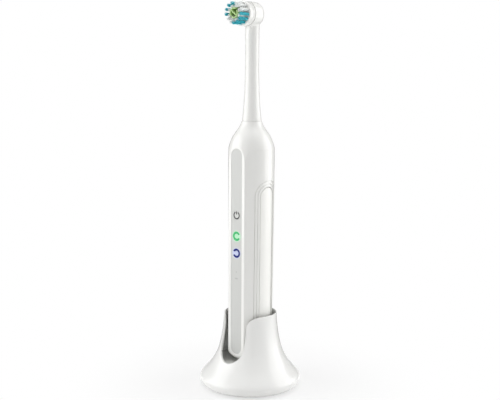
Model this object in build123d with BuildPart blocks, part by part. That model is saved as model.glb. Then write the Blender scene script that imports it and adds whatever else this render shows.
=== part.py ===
"""Electric toothbrush with a round oscillating head, standing in its induction charger.

Millimetres, +Z up, origin on the surface that the charger stands on, under the brush axis.
The front, with the grey strip and the bristles, faces -Y.
"""

import math
import os

from build123d import *

# Charger: bell-shaped shell with an open front slot
BASE_RIM_HEIGHT = 47.0
BASE_RIM_RADIUS = 16.6
BASE_WAIST_HEIGHT = 32.0
BASE_WAIST_FLARE = 1.5
BASE_FLARE_HEIGHT = 13.0
BASE_FLARE_INSET = 5.6
BASE_BULGE_HEIGHT = 5.6
BASE_BULGE_RADIUS = 31.8
BASE_EDGE_HEIGHT = 0.5
BASE_EDGE_INSET = 4.3
BASE_WALL = 1.3
RIM_ROUND = 0.4
RIM_LEAD_HEIGHT = 4.0
RIM_LEAD_WIDTH = 0.5
SLOT_WIDTH = 18.2
SLOT_BOTTOM = 18.0
SLOT_CORNER = 6.5

# Charger: what stands inside the bell
FOOT_THICKNESS = 1.0
FOOT_INSET = 3.5
FOOT_WIDTH = 5.0
BASE_PLATE_THICKNESS = 2.2
BASE_PLATE_GAP = 0.25
BASE_BOARD_HEIGHT = 6.0
BASE_BOARD_THICKNESS = 1.4
BASE_BOARD_RADIUS = 17.0
SEAT_HEIGHT = 1.5
DECK_THICKNESS = 2.0
SEAT_RADIUS = 8.6
POST_RADIUS = 4.6
POST_HEIGHT = 8.6
POST_WALL = 1.0
POST_ROUND = 0.8
CORE_RADIUS = 2.0
PILLAR_RADIUS = 2.6
PILLAR_CIRCLE_RADIUS = 13.2
PILLAR_COUNT = 4
SCREW_RADIUS = 1.1
SCREW_HEAD_RADIUS = 2.0
SCREW_HEAD_HEIGHT = 1.2
SCREW_CROSS_LENGTH = 2.4
SCREW_CROSS_WIDTH = 0.5
STANDOFF_RADIUS = 1.8
SOCKET_WIDTH = 9.0
SOCKET_HEIGHT = 3.2
SOCKET_DEPTH = 7.4
SOCKET_WALL = 0.3
SOCKET_SINK = 0.5
SOCKET_BACK_WALL = 1.2
SOCKET_TONGUE_WIDTH = 6.5
SOCKET_TONGUE_THICKNESS = 0.7
SOCKET_TONGUE_LENGTH = 6.2
BOARD_MARGIN = 1.5
CHARGER_CHIP_SIZE = 5.0
CHARGER_CHIP_HEIGHT = 1.6
CHARGER_CHIP_OFFSET = 8.0
CAPACITOR_RADIUS = 2.6
CAPACITOR_HEIGHT = 5.0

# Handle
HANDLE_BOTTOM = 18.0
HANDLE_BOTTOM_RADIUS = 13.5
HANDLE_EDGE_WIDTH = 5.5
HANDLE_EDGE_HEIGHT = 7.0
HANDLE_TOP_RADIUS = 14.3
SHOULDER_LENGTH = 27.0
SHOULDER_MIDDLE_RISE = 18.5
SHOULDER_MIDDLE_RADIUS = 11.2
NECK_RADIUS = 6.2
SHOULDER_END_SLOPE = (-0.28, 1)
FLAT_DISTANCE = 13.8
FLAT_WIDTH = 12.8
CREASE_ROUND = 0.7
HANDLE_BORE_RADIUS = 10.4
NOZZLE_RADIUS = 3.6
NOZZLE_HEIGHT = 5.0
NOZZLE_WALL = 0.8

# Front strip and its controls: the button by its height above the table, the lights below the button
STRIP_BOTTOM_RISE = 4.4
STRIP_TOP_RISE = 10.8
STRIP_WIDTH = 8.6
STRIP_THICKNESS = 1.0
STRIP_SINK = 0.15
BUTTON_HEIGHT = 109.9
BUTTON_RADIUS = 2.9
BUTTON_TRAVEL = 0.5
BUTTON_LIP = 0.5
BUTTON_LIP_THICKNESS = 0.6
BUTTON_STEM_RADIUS = 1.2
GREEN_RING_DROP = 13.0
BLUE_RING_DROP = 23.6
RING_RADIUS = 2.45
RING_WIDTH = 0.9
RING_GAP_ANGLE = 70.0
STATUS_DOT_DROP = 35.4
STATUS_DOT_RADIUS = 0.45
STATUS_BAR_DROP = 39.5
STATUS_BAR_WIDTH = 2.4

# Side grips: nested arches that step down into the handle's two sides
GRIP_BOTTOM_RISE = 9.0
GRIP_ARCH_DROPS = (8.5, 10.5, 12.5)
GRIP_ARCH_WIDTHS = (18.4, 15.0, 11.6)
GRIP_STEP = 0.25
GRIP_GROOVE_WIDTH = 0.5
GRIP_GROOVE_DEPTH = 0.4
GRIP_THICKNESS = 1.0

# Works inside the handle
CHASSIS_WALL = 1.4
CHASSIS_RISE = 15.0
BATTERY_RADIUS = 7.0
BATTERY_LENGTH = 49.0
BATTERY_RISE = 5.0
BATTERY_OFFSET = 1.4
BOARD_WIDTH = 11.0
BOARD_TAIL = 12.4
BOARD_END = 1.6
BOARD_FRONT = 8.0
BOARD_THICKNESS = 1.0
RAIL_WIDTH = 1.4
RAIL_DEPTH = 2.3
SWITCH_SIZE = 5.0
SWITCH_HEIGHT = 1.4
PLUNGER_LENGTH = 0.5
DIODE_SIZE = 2.8
DIODE_HEIGHT = 1.5
BOARD_CHIP_SIZE = 4.0
BOARD_CHIP_HEIGHT = 1.0
TAB_THICKNESS = 0.4
TAB_WIDTH = 5.2
TAB_LENGTH = 10.5
NUB_RADIUS = 2.6
NUB_HEIGHT = 1.2
MOTOR_LENGTH = 26.0
MOTOR_CLEARANCE = 1.0
MOTOR_HEADROOM = 4.0
MOTOR_IN_SHOULDER = 1.0
MOTOR_WALL = 1.4
BEARING_HEIGHT = 4.0
BEARING_RADIUS = 3.5
UPPER_BEARING_DROP = 11.0
SEAL_DROP = 4.0
SHAFT_RADIUS = 1.5
SHAFT_REACH = 25.0
SHAFT_FLAT = 0.45
SHAFT_FLAT_LENGTH = 16.0
SHAFT_TIP_CHAMFER = 0.2
ARMATURE_RADIUS = 4.2
ARMATURE_HEIGHT = 11.0
MAGNET_THICKNESS = 1.4
MAGNET_COUNT = 4
MAGNET_SPACING = 2.0
END_CAP_THICKNESS = 2.6
END_CAP_SINK = 0.6
WELL_WALL = 1.0
SEAL_WIRE = 0.6

# Brush head
HEAD_RISE = 64.4
HEAD_RADIUS = 7.45
HEAD_FACE = 5.4
HEAD_BACK = 5.0
HEAD_BACK_ROUND = 4.6
STEM_BOTTOM_RADIUS = 6.0
STEM_BOTTOM_SLOPE = (-0.12, 1)
STEM_WAIST_RADIUS = 4.2
STEM_WAIST_RISE = 36.0
STEM_TOP_RADIUS = 4.3
STEM_BLEND = 2.0
ROD_RADIUS = 2.5
ROD_FOOT_RADIUS = 2.9
ROD_FOOT_WALL = 4.0
CRANK_OFFSET = 2.0
CRANK_DROP = 2.0
CRANK_BALL_RADIUS = 0.7
CRANK_PIN_RADIUS = 0.45
FORK_CLEARANCE = 0.15
AXLE_RADIUS = 0.8
AXLE_BACK = 2.6
PLATE_RADIUS = 7.3
PLATE_THICKNESS = 2.8
PLATE_ROUND = 0.45
PLATE_GAP = 0.45
HUB_RADIUS = 4.8
HUB_BACK = 1.0

# Bristles
TUFT_RADIUS = 0.82
TUFT_ROOT = 0.8
TUFT_ROW = 4
STRAND_SIDE = 0.2
STRAND_PITCH = 0.32
LONG_BRISTLE = 9.4
SHORT_BRISTLE = 8.7
OUTER_TUFT_COUNT = 13
TEAL_TUFTS = (0, 1, 2, 3, 6, 7, 8)
OUTER_TUFT_CIRCLE = 5.95
INNER_TUFT_COUNT = 8
INNER_TUFT_CIRCLE = 4.15
WING_CIRCLE = 2.75
WING_THICKNESS = 0.7
WING_LENGTH = 8.4
WING_GAP_ANGLE = 40.0

# Clearances
RUNNING_GAP = 0.05
SEAT_GAP = 0.1
LOOSE_GAP = 0.3

# Radii and heights that follow from the sizes above, from the table to the brush head
BASE_WAIST_RADIUS = BASE_RIM_RADIUS + BASE_WAIST_FLARE
BASE_FLARE_RADIUS = BASE_BULGE_RADIUS - BASE_FLARE_INSET
BASE_EDGE_RADIUS = BASE_BULGE_RADIUS - BASE_EDGE_INSET
FOOT_OUTER_RADIUS = BASE_EDGE_RADIUS - FOOT_INSET
FOOT_INNER_RADIUS = FOOT_OUTER_RADIUS - FOOT_WIDTH
DECK_TOP = HANDLE_BOTTOM - SEAT_HEIGHT
STRIP_BOTTOM = HANDLE_BOTTOM + STRIP_BOTTOM_RISE
GRIP_BOTTOM = HANDLE_BOTTOM + GRIP_BOTTOM_RISE
CHASSIS_BOTTOM = HANDLE_BOTTOM + CHASSIS_RISE
BATTERY_BOTTOM = CHASSIS_BOTTOM + BATTERY_RISE
GREEN_RING_HEIGHT = BUTTON_HEIGHT - GREEN_RING_DROP
BLUE_RING_HEIGHT = BUTTON_HEIGHT - BLUE_RING_DROP
STATUS_DOT_HEIGHT = BUTTON_HEIGHT - STATUS_DOT_DROP
STATUS_BAR_HEIGHT = BUTTON_HEIGHT - STATUS_BAR_DROP
BOARD_BOTTOM = STATUS_BAR_HEIGHT - BOARD_TAIL
BOARD_TOP = BUTTON_HEIGHT + SWITCH_SIZE / 2 + BOARD_END
MOTOR_BOTTOM = BOARD_TOP + MOTOR_CLEARANCE
MOTOR_TOP = MOTOR_BOTTOM + MOTOR_LENGTH
HANDLE_CAVITY_TOP = MOTOR_TOP + MOTOR_HEADROOM
SHOULDER_BOTTOM = MOTOR_TOP - MOTOR_IN_SHOULDER
SHOULDER_MIDDLE = SHOULDER_BOTTOM + SHOULDER_MIDDLE_RISE
SHOULDER_TOP = SHOULDER_BOTTOM + SHOULDER_LENGTH
STRIP_TOP = SHOULDER_BOTTOM + STRIP_TOP_RISE
GRIP_ARCH_TOPS = [SHOULDER_BOTTOM - drop for drop in GRIP_ARCH_DROPS]
UPPER_BEARING_BOTTOM = SHOULDER_TOP - UPPER_BEARING_DROP
SEAL_BOTTOM = SHOULDER_TOP - SEAL_DROP
SHAFT_TOP = SHOULDER_TOP + SHAFT_REACH
SHAFT_FLAT_BOTTOM = SHAFT_TOP - SHAFT_FLAT_LENGTH
ROD_FOOT_TOP = SHAFT_TOP + ROD_FOOT_WALL
HEAD_CENTRE = SHOULDER_TOP + HEAD_RISE

os.makedirs("parts", exist_ok=True)


def save(piece, name):
    """Label one finished piece and write it under its own name."""
    piece.label = name
    export_step(piece, f"parts/{name}.step")


# Charger shell


def bell_face(inset):
    """Half section of the bell, from its axis to the outer curve moved in by inset."""
    with BuildSketch(Plane.XZ) as section:
        with BuildLine():
            flare = Spline(
                (BASE_RIM_RADIUS - inset, BASE_RIM_HEIGHT),
                (BASE_WAIST_RADIUS - inset, BASE_WAIST_HEIGHT),
                (BASE_FLARE_RADIUS - inset, BASE_FLARE_HEIGHT),
                (BASE_BULGE_RADIUS - inset, BASE_BULGE_HEIGHT),
                tangents=((0, -1), (0, -1)),
                tangent_scalars=(1, 0.6),
            )
            foot = EllipticalCenterArc(
                (BASE_EDGE_RADIUS - inset, BASE_BULGE_HEIGHT),
                BASE_BULGE_RADIUS - BASE_EDGE_RADIUS,
                BASE_BULGE_HEIGHT - BASE_EDGE_HEIGHT,
                start_angle=270,
                arc_size=90,
            )
            Line(foot @ 0, (0, BASE_EDGE_HEIGHT))
            Line((0, BASE_EDGE_HEIGHT), (0, BASE_RIM_HEIGHT))
            Line((0, BASE_RIM_HEIGHT), flare @ 0)
        make_face()
    return section.sketch


def bell_solid(inset):
    """Bell filled to its axis, with its outer curve moved in by inset."""
    with BuildPart() as bell:
        add(bell_face(inset))
        revolve(axis=Axis.Z)
    return bell.part


SLOT_HALF = SLOT_WIDTH / 2
SLOT_OPEN_HALF = SLOT_HALF + SLOT_CORNER
ABOVE_RIM = BASE_RIM_HEIGHT + SLOT_CORNER
RIM_INNER_RADIUS = BASE_RIM_RADIUS - BASE_WALL
SOCKET_FLOOR = BASE_BOARD_HEIGHT + BASE_BOARD_THICKNESS
SOCKET_CENTRE = SOCKET_FLOOR + SOCKET_HEIGHT / 2

with BuildPart() as base_shell:
    add(bell_solid(0))
    rim_edge = base_shell.edges().filter_by(GeomType.CIRCLE).sort_by(Axis.Z)[-1]
    fillet(rim_edge, RIM_ROUND)
    add(bell_solid(BASE_WALL), mode=Mode.SUBTRACT)
    with Locations((0, 0, BASE_RIM_HEIGHT)):
        Cone(
            RIM_INNER_RADIUS,
            RIM_INNER_RADIUS + RIM_LEAD_WIDTH,
            RIM_LEAD_HEIGHT,
            align=(Align.CENTER, Align.CENTER, Align.MAX),
            mode=Mode.SUBTRACT,
        )
    with BuildSketch(Plane.XZ) as slot_outline:
        with BuildLine():
            Line((-SLOT_OPEN_HALF, ABOVE_RIM), (SLOT_OPEN_HALF, ABOVE_RIM))
            Line((SLOT_OPEN_HALF, ABOVE_RIM), (SLOT_OPEN_HALF, BASE_RIM_HEIGHT))
            RadiusArc(
                (SLOT_OPEN_HALF, BASE_RIM_HEIGHT), (SLOT_HALF, BASE_RIM_HEIGHT - SLOT_CORNER), -SLOT_CORNER
            )
            Line((SLOT_HALF, BASE_RIM_HEIGHT - SLOT_CORNER), (SLOT_HALF, SLOT_BOTTOM + SLOT_HALF))
            ThreePointArc(
                (SLOT_HALF, SLOT_BOTTOM + SLOT_HALF), (0, SLOT_BOTTOM), (-SLOT_HALF, SLOT_BOTTOM + SLOT_HALF)
            )
            Line((-SLOT_HALF, SLOT_BOTTOM + SLOT_HALF), (-SLOT_HALF, BASE_RIM_HEIGHT - SLOT_CORNER))
            RadiusArc(
                (-SLOT_HALF, BASE_RIM_HEIGHT - SLOT_CORNER), (-SLOT_OPEN_HALF, BASE_RIM_HEIGHT), -SLOT_CORNER
            )
            Line((-SLOT_OPEN_HALF, BASE_RIM_HEIGHT), (-SLOT_OPEN_HALF, ABOVE_RIM))
        make_face()
    extrude(amount=BASE_BULGE_RADIUS, mode=Mode.SUBTRACT)
    with BuildSketch(Plane.XZ) as socket_hole:
        with Locations((0, SOCKET_CENTRE)):
            SlotOverall(SOCKET_WIDTH + 2 * LOOSE_GAP, SOCKET_HEIGHT + 2 * LOOSE_GAP)
    extrude(amount=-BASE_BULGE_RADIUS, mode=Mode.SUBTRACT)
save(base_shell.part, "base_shell")

# Charger floor: base plate, ring foot, screws

PLATE_UNDERSIDE = FOOT_THICKNESS
PLATE_TOP = PLATE_UNDERSIDE + BASE_PLATE_THICKNESS
BASE_PLATE_RADIUS = BASE_EDGE_RADIUS - BASE_WALL - BASE_PLATE_GAP
DECK_UNDERSIDE = DECK_TOP - DECK_THICKNESS
PILLARS = PolarLocations(PILLAR_CIRCLE_RADIUS, PILLAR_COUNT, start_angle=180 / PILLAR_COUNT)

with BuildPart() as base_plate:
    with BuildSketch(Plane.XY.offset(PLATE_UNDERSIDE)):
        Circle(BASE_PLATE_RADIUS)
    extrude(amount=BASE_PLATE_THICKNESS)
    with BuildSketch(Plane.XY.offset(PLATE_TOP)):
        with PILLARS:
            Circle(PILLAR_RADIUS)
    extrude(amount=DECK_UNDERSIDE - PLATE_TOP)
    with BuildSketch(Plane.XY.offset(PLATE_UNDERSIDE)):
        with PILLARS:
            Circle(SCREW_RADIUS + SEAT_GAP)
    extrude(amount=DECK_UNDERSIDE - PLATE_UNDERSIDE, mode=Mode.SUBTRACT)
    with BuildSketch(Plane.XY.offset(PLATE_UNDERSIDE)):
        with PILLARS:
            Circle(SCREW_HEAD_RADIUS + SEAT_GAP)
    extrude(amount=SCREW_HEAD_HEIGHT + SEAT_GAP, mode=Mode.SUBTRACT)
save(base_plate.part, "base_plate")

with BuildPart() as ring_foot:
    with BuildSketch():
        Circle(FOOT_OUTER_RADIUS)
        Circle(FOOT_INNER_RADIUS, mode=Mode.SUBTRACT)
    extrude(amount=FOOT_THICKNESS)
save(ring_foot.part, "ring_foot")

with BuildPart() as base_screws:
    with BuildSketch(Plane.XY.offset(PLATE_UNDERSIDE + SEAT_GAP)):
        with PILLARS:
            Circle(SCREW_HEAD_RADIUS)
    extrude(amount=SCREW_HEAD_HEIGHT)
    with BuildSketch(Plane.XY.offset(PLATE_UNDERSIDE + SEAT_GAP + SCREW_HEAD_HEIGHT)):
        with PILLARS:
            Circle(SCREW_RADIUS)
    extrude(amount=DECK_UNDERSIDE + DECK_THICKNESS / 2 - PLATE_UNDERSIDE - SEAT_GAP - SCREW_HEAD_HEIGHT)
    with BuildSketch(Plane.XY.offset(PLATE_UNDERSIDE + SEAT_GAP)):
        with PILLARS:
            Rectangle(SCREW_CROSS_LENGTH, SCREW_CROSS_WIDTH)
            Rectangle(SCREW_CROSS_WIDTH, SCREW_CROSS_LENGTH)
    extrude(amount=SCREW_HEAD_HEIGHT / 2, mode=Mode.SUBTRACT)
save(base_screws.part, "base_screws")

# Charger deck, with the seat that the handle stands on and the post that enters it

SEAT_TOP = HANDLE_BOTTOM + END_CAP_SINK - LOOSE_GAP
POST_TOP = HANDLE_BOTTOM + POST_HEIGHT
POST_BORE = POST_RADIUS - POST_WALL

with BuildPart() as charging_deck:
    with BuildSketch(Plane.XZ):
        with BuildLine():
            Polyline(
                (POST_BORE, DECK_UNDERSIDE),
                (BASE_EDGE_RADIUS, DECK_UNDERSIDE),
                (BASE_EDGE_RADIUS, DECK_TOP),
                (SEAT_RADIUS, DECK_TOP),
                (SEAT_RADIUS, SEAT_TOP),
                (POST_RADIUS, SEAT_TOP),
                (POST_RADIUS, POST_TOP),
                (0, POST_TOP),
                (0, POST_TOP - POST_WALL),
                (POST_BORE, POST_TOP - POST_WALL),
                close=True,
            )
        make_face()
    revolve(axis=Axis.Z)
    add(bell_solid(BASE_WALL + LOOSE_GAP), mode=Mode.INTERSECT)
    post_edge = charging_deck.edges().filter_by(GeomType.CIRCLE).group_by(Axis.Z)[-1]
    fillet(post_edge, POST_ROUND)
    with BuildSketch(Plane.XY.offset(DECK_UNDERSIDE)):
        with PILLARS:
            Circle(SCREW_RADIUS)
    extrude(amount=DECK_THICKNESS / 2, mode=Mode.SUBTRACT)
save(charging_deck.part, "charging_deck")

# Charger electronics: board, socket, core and primary winding

BOARD_UNDERSIDE = BASE_BOARD_HEIGHT
TONGUE_WIDTH = SOCKET_WIDTH + 2 * BOARD_MARGIN
SOCKET_FRONT = BASE_EDGE_RADIUS - SOCKET_SINK
TONGUE_LENGTH = SOCKET_FRONT - BOARD_MARGIN
SOCKET_BACK = SOCKET_FRONT - SOCKET_DEPTH

with BuildPart() as charger_board:
    with BuildSketch(Plane.XY.offset(BOARD_UNDERSIDE)):
        Circle(BASE_BOARD_RADIUS)
        with Locations((0, TONGUE_LENGTH / 2)):
            Rectangle(TONGUE_WIDTH, TONGUE_LENGTH)
        with PILLARS:
            Circle(PILLAR_RADIUS + LOOSE_GAP, mode=Mode.SUBTRACT)
    extrude(amount=BASE_BOARD_THICKNESS)
save(charger_board.part, "charger_board")

with BuildPart() as board_standoffs:
    with BuildSketch(Plane.XY.offset(PLATE_TOP)):
        with PolarLocations(PILLAR_CIRCLE_RADIUS, PILLAR_COUNT):
            Circle(STANDOFF_RADIUS)
    extrude(amount=BOARD_UNDERSIDE - PLATE_TOP)
save(board_standoffs.part, "board_standoffs")

with BuildPart() as charger_chips:
    with BuildSketch(Plane.XY.offset(SOCKET_FLOOR)):
        with Locations((-CHARGER_CHIP_OFFSET, 0)):
            Rectangle(CHARGER_CHIP_SIZE, CHARGER_CHIP_SIZE)
    extrude(amount=CHARGER_CHIP_HEIGHT)
    with BuildSketch(Plane.XY.offset(SOCKET_FLOOR)):
        with Locations((CHARGER_CHIP_OFFSET, 0)):
            Circle(CAPACITOR_RADIUS)
    extrude(amount=CAPACITOR_HEIGHT)
save(charger_chips.part, "charger_chips")

with BuildPart() as power_socket:
    with BuildSketch(Plane.XZ.offset(-SOCKET_FRONT)):
        with Locations((0, SOCKET_CENTRE)):
            SlotOverall(SOCKET_WIDTH, SOCKET_HEIGHT)
            SlotOverall(SOCKET_WIDTH - 2 * SOCKET_WALL, SOCKET_HEIGHT - 2 * SOCKET_WALL, mode=Mode.SUBTRACT)
    extrude(amount=SOCKET_DEPTH)
    with BuildSketch(Plane.XZ.offset(-SOCKET_BACK)):
        with Locations((0, SOCKET_CENTRE)):
            SlotOverall(SOCKET_WIDTH, SOCKET_HEIGHT)
    extrude(amount=-SOCKET_BACK_WALL)
    with BuildSketch(Plane.XZ.offset(-SOCKET_BACK)):
        with Locations((0, SOCKET_CENTRE)):
            Rectangle(SOCKET_TONGUE_WIDTH, SOCKET_TONGUE_THICKNESS)
    extrude(amount=-SOCKET_TONGUE_LENGTH)
save(power_socket.part, "power_socket")

with BuildPart() as ferrite_core:
    with BuildSketch(Plane.XY.offset(SOCKET_FLOOR)):
        Circle(CORE_RADIUS)
    extrude(amount=POST_TOP - POST_WALL - SEAT_GAP - SOCKET_FLOOR)
save(ferrite_core.part, "ferrite_core")

with BuildPart() as primary_coil:
    with BuildSketch(Plane.XY.offset(HANDLE_BOTTOM)):
        Circle(POST_BORE - SEAT_GAP)
        Circle(CORE_RADIUS + SEAT_GAP, mode=Mode.SUBTRACT)
    extrude(amount=POST_HEIGHT - POST_WALL - 2 * SEAT_GAP)
save(primary_coil.part, "primary_coil")

# Handle casing: a tapered section with a flat front, cut at the top by a turned shoulder


def handle_section(radius, height, sink=0.0):
    """Outline across the handle: a round back, a flat front and two flanks tangent to the round."""
    half, front = FLAT_WIDTH / 2, FLAT_DISTANCE - sink
    corner = math.hypot(half, front)
    turn = math.atan2(half, front) + math.acos((radius - sink) / corner)
    reach = radius - sink
    side = (reach * math.sin(turn), -reach * math.cos(turn))
    with BuildSketch(Plane.XY.offset(height)) as section:
        with BuildLine():
            Line((-half, -front), (half, -front))
            Line((half, -front), side)
            ThreePointArc(side, (0, reach), (-side[0], side[1]))
            Line((-side[0], side[1]), (-half, -front))
        make_face()
        fillet(section.vertices().group_by(Axis.Y)[0], CREASE_ROUND)
    return section.sketch


def handle_body(sink=0.0):
    """Tapered handle, all over smaller by sink, before its shoulder is turned."""
    with BuildPart() as body:
        add(handle_section(HANDLE_BOTTOM_RADIUS, HANDLE_BOTTOM, sink))
        add(handle_section(HANDLE_TOP_RADIUS, SHOULDER_BOTTOM, sink))
        loft()
        add(handle_section(HANDLE_TOP_RADIUS, SHOULDER_BOTTOM, sink))
        extrude(amount=SHOULDER_TOP - SHOULDER_BOTTOM)
    return body.part


CORNER_RADIUS = math.hypot(FLAT_WIDTH / 2, FLAT_DISTANCE)
EDGE_START = HANDLE_BOTTOM_RADIUS - HANDLE_EDGE_WIDTH
EDGE_TOP = HANDLE_BOTTOM + HANDLE_EDGE_HEIGHT
NOZZLE_TOP = SHOULDER_TOP + NOZZLE_HEIGHT

with BuildPart() as shoulder_turning:
    with BuildSketch(Plane.XZ):
        with BuildLine():
            Line((0, HANDLE_BOTTOM), (EDGE_START, HANDLE_BOTTOM))
            EllipticalCenterArc(
                (EDGE_START, EDGE_TOP),
                CORNER_RADIUS - EDGE_START,
                HANDLE_EDGE_HEIGHT,
                start_angle=270,
                arc_size=90,
            )
            Line((CORNER_RADIUS, EDGE_TOP), (CORNER_RADIUS, SHOULDER_BOTTOM))
            Spline(
                (CORNER_RADIUS, SHOULDER_BOTTOM),
                (SHOULDER_MIDDLE_RADIUS, SHOULDER_MIDDLE),
                (NECK_RADIUS, SHOULDER_TOP),
                tangents=((0, 1), SHOULDER_END_SLOPE),
            )
            Line((NECK_RADIUS, SHOULDER_TOP), (0, SHOULDER_TOP))
            Line((0, SHOULDER_TOP), (0, HANDLE_BOTTOM))
        make_face()
    revolve(axis=Axis.Z)

UPPER_BEARING_TOP = UPPER_BEARING_BOTTOM + BEARING_HEIGHT
SEAL_RADIUS = NOZZLE_RADIUS - NOZZLE_WALL
SHAFT_HOLE_RADIUS = SHAFT_RADIUS + LOOSE_GAP

with BuildPart() as handle_cavity:
    with BuildSketch(Plane.XZ):
        with BuildLine():
            Polyline(
                (0, HANDLE_BOTTOM),
                (HANDLE_BORE_RADIUS, HANDLE_BOTTOM),
                (HANDLE_BORE_RADIUS, HANDLE_CAVITY_TOP),
                (BEARING_RADIUS + SEAT_GAP, UPPER_BEARING_BOTTOM),
                (BEARING_RADIUS + SEAT_GAP, UPPER_BEARING_TOP),
                (SHAFT_HOLE_RADIUS, UPPER_BEARING_TOP),
                (SHAFT_HOLE_RADIUS, SEAL_BOTTOM),
                (SEAL_RADIUS, SEAL_BOTTOM),
                (SEAL_RADIUS, NOZZLE_TOP),
                (0, NOZZLE_TOP),
                close=True,
            )
        make_face()
    revolve(axis=Axis.Z)


def grip_arch(level, sink, trim=0.0):
    """Prism of one nested arch on the right side, outside the handle made smaller by sink."""
    width = GRIP_ARCH_WIDTHS[level] - 2 * trim
    top = GRIP_ARCH_TOPS[level] - trim
    bottom = GRIP_BOTTOM + (GRIP_ARCH_WIDTHS[0] - width) / 2
    with BuildPart() as arch:
        with BuildSketch(Plane.YZ):
            with Locations((0, (bottom + top) / 2)):
                SlotOverall(top - bottom, width, rotation=90)
        extrude(amount=CORNER_RADIUS)
        add(handle_body(sink), mode=Mode.SUBTRACT)
    return arch.part


GRIP_LEVELS = len(GRIP_ARCH_TOPS)
GRIP_SURFACE = GRIP_STEP * GRIP_LEVELS
GRIP_FLOOR = GRIP_SURFACE + GRIP_THICKNESS
GRIP_FLOORS = [GRIP_STEP * (level + 1) for level in range(GRIP_LEVELS - 1)] + [GRIP_FLOOR]
STRIP_FRONT = FLAT_DISTANCE - STRIP_SINK
STRIP_BACK = STRIP_FRONT - STRIP_THICKNESS
STRIP_MIDDLE = (STRIP_BOTTOM + STRIP_TOP) / 2
STRIP_LENGTH = STRIP_TOP - STRIP_BOTTOM
BUTTON_HOLE_RADIUS = BUTTON_RADIUS + SEAT_GAP
BUTTON_LIP_RADIUS = BUTTON_RADIUS + BUTTON_LIP
LIGHT_HOLE_RADIUS = RING_RADIUS + SEAT_GAP
LIGHT_HEIGHTS = (GREEN_RING_HEIGHT, BLUE_RING_HEIGHT)
STATUS_MIDDLE = (STATUS_DOT_HEIGHT + STATUS_BAR_HEIGHT) / 2
STATUS_WINDOW = STATUS_DOT_HEIGHT - STATUS_BAR_HEIGHT + STATUS_BAR_WIDTH

with BuildPart() as handle_shell:
    add(handle_body())
    add(shoulder_turning.part, mode=Mode.INTERSECT)
    with BuildSketch(Plane.XY.offset(SHOULDER_TOP)):
        Circle(NOZZLE_RADIUS)
    extrude(amount=NOZZLE_HEIGHT)
    add(handle_cavity.part, mode=Mode.SUBTRACT)
    for level, floor in enumerate(GRIP_FLOORS):
        groove_floor = floor + GRIP_GROOVE_DEPTH
        groove = grip_arch(level, groove_floor) - grip_arch(level, groove_floor, GRIP_GROOVE_WIDTH)
        for recess in (grip_arch(level, floor), groove):
            add(recess, mode=Mode.SUBTRACT)
            add(recess.mirror(Plane.YZ), mode=Mode.SUBTRACT)
    with BuildSketch(Plane.XZ.offset(STRIP_BACK)):
        with Locations((0, STRIP_MIDDLE)):
            SlotOverall(STRIP_LENGTH + 2 * RUNNING_GAP, STRIP_WIDTH + 2 * RUNNING_GAP, rotation=90)
    extrude(amount=FLAT_DISTANCE, mode=Mode.SUBTRACT)
    with BuildSketch(Plane.XZ):
        with Locations((0, BUTTON_HEIGHT)):
            Circle(BUTTON_LIP_RADIUS + SEAT_GAP)
        with Locations(*[(0, height) for height in LIGHT_HEIGHTS]):
            Circle(LIGHT_HOLE_RADIUS)
        with Locations((0, STATUS_MIDDLE)):
            Rectangle(STATUS_BAR_WIDTH + 2 * SEAT_GAP, STATUS_WINDOW)
    extrude(amount=FLAT_DISTANCE, mode=Mode.SUBTRACT)
save(handle_shell.part, "handle_shell")

for side, turn in (("right", None), ("left", Plane.YZ)):
    with BuildPart() as side_grip:
        add(grip_arch(GRIP_LEVELS - 1, GRIP_FLOOR - RUNNING_GAP, GRIP_GROOVE_WIDTH))
        add(handle_body(GRIP_SURFACE), mode=Mode.INTERSECT)
        if turn:
            mirror(about=turn, mode=Mode.REPLACE)
    save(side_grip.part, f"side_grip_{side}")

# Front strip with its windows, and the pieces that sit in them


def ring_outline(height, gap_side, spread=0.0):
    """Open ring round a light: gap_side 1 leaves the gap at the right, -1 at the left."""
    with BuildSketch(Plane.XZ.offset(STRIP_BACK)) as outline:
        with Locations((0, height)):
            Circle(RING_RADIUS + spread)
            Circle(RING_RADIUS - RING_WIDTH - spread, mode=Mode.SUBTRACT)
            reach = gap_side * 2 * RING_RADIUS
            half = 2 * RING_RADIUS * math.tan(math.radians(RING_GAP_ANGLE / 2))
            Polygon((0, 0), (reach, half), (reach, -half), align=None, mode=Mode.SUBTRACT)
    return outline.sketch


RINGS = {"green": (GREEN_RING_HEIGHT, 1), "blue": (BLUE_RING_HEIGHT, -1)}

with BuildPart() as front_strip:
    with BuildSketch(Plane.XZ.offset(STRIP_BACK)):
        with Locations((0, STRIP_MIDDLE)):
            SlotOverall(STRIP_LENGTH, STRIP_WIDTH, rotation=90)
        with Locations((0, BUTTON_HEIGHT)):
            Circle(BUTTON_HOLE_RADIUS, mode=Mode.SUBTRACT)
        with Locations((0, STATUS_DOT_HEIGHT)):
            Circle(STATUS_DOT_RADIUS, mode=Mode.SUBTRACT)
        with Locations((0, STATUS_BAR_HEIGHT)):
            SlotOverall(STATUS_BAR_WIDTH, 2 * STATUS_DOT_RADIUS, mode=Mode.SUBTRACT)
    extrude(amount=STRIP_THICKNESS)
    for height, gap_side in RINGS.values():
        extrude(ring_outline(height, gap_side), amount=STRIP_THICKNESS, mode=Mode.SUBTRACT)
save(front_strip.part, "front_strip")

for colour, (height, gap_side) in RINGS.items():
    with BuildPart() as light_ring:
        extrude(ring_outline(height, gap_side), amount=STRIP_THICKNESS)
        with BuildSketch(Plane.XZ.offset(STRIP_BACK)):
            with Locations((0, height)):
                Circle(RING_RADIUS)
        extrude(amount=-STRIP_THICKNESS)
    save(light_ring.part, f"{colour}_light_ring")

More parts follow.
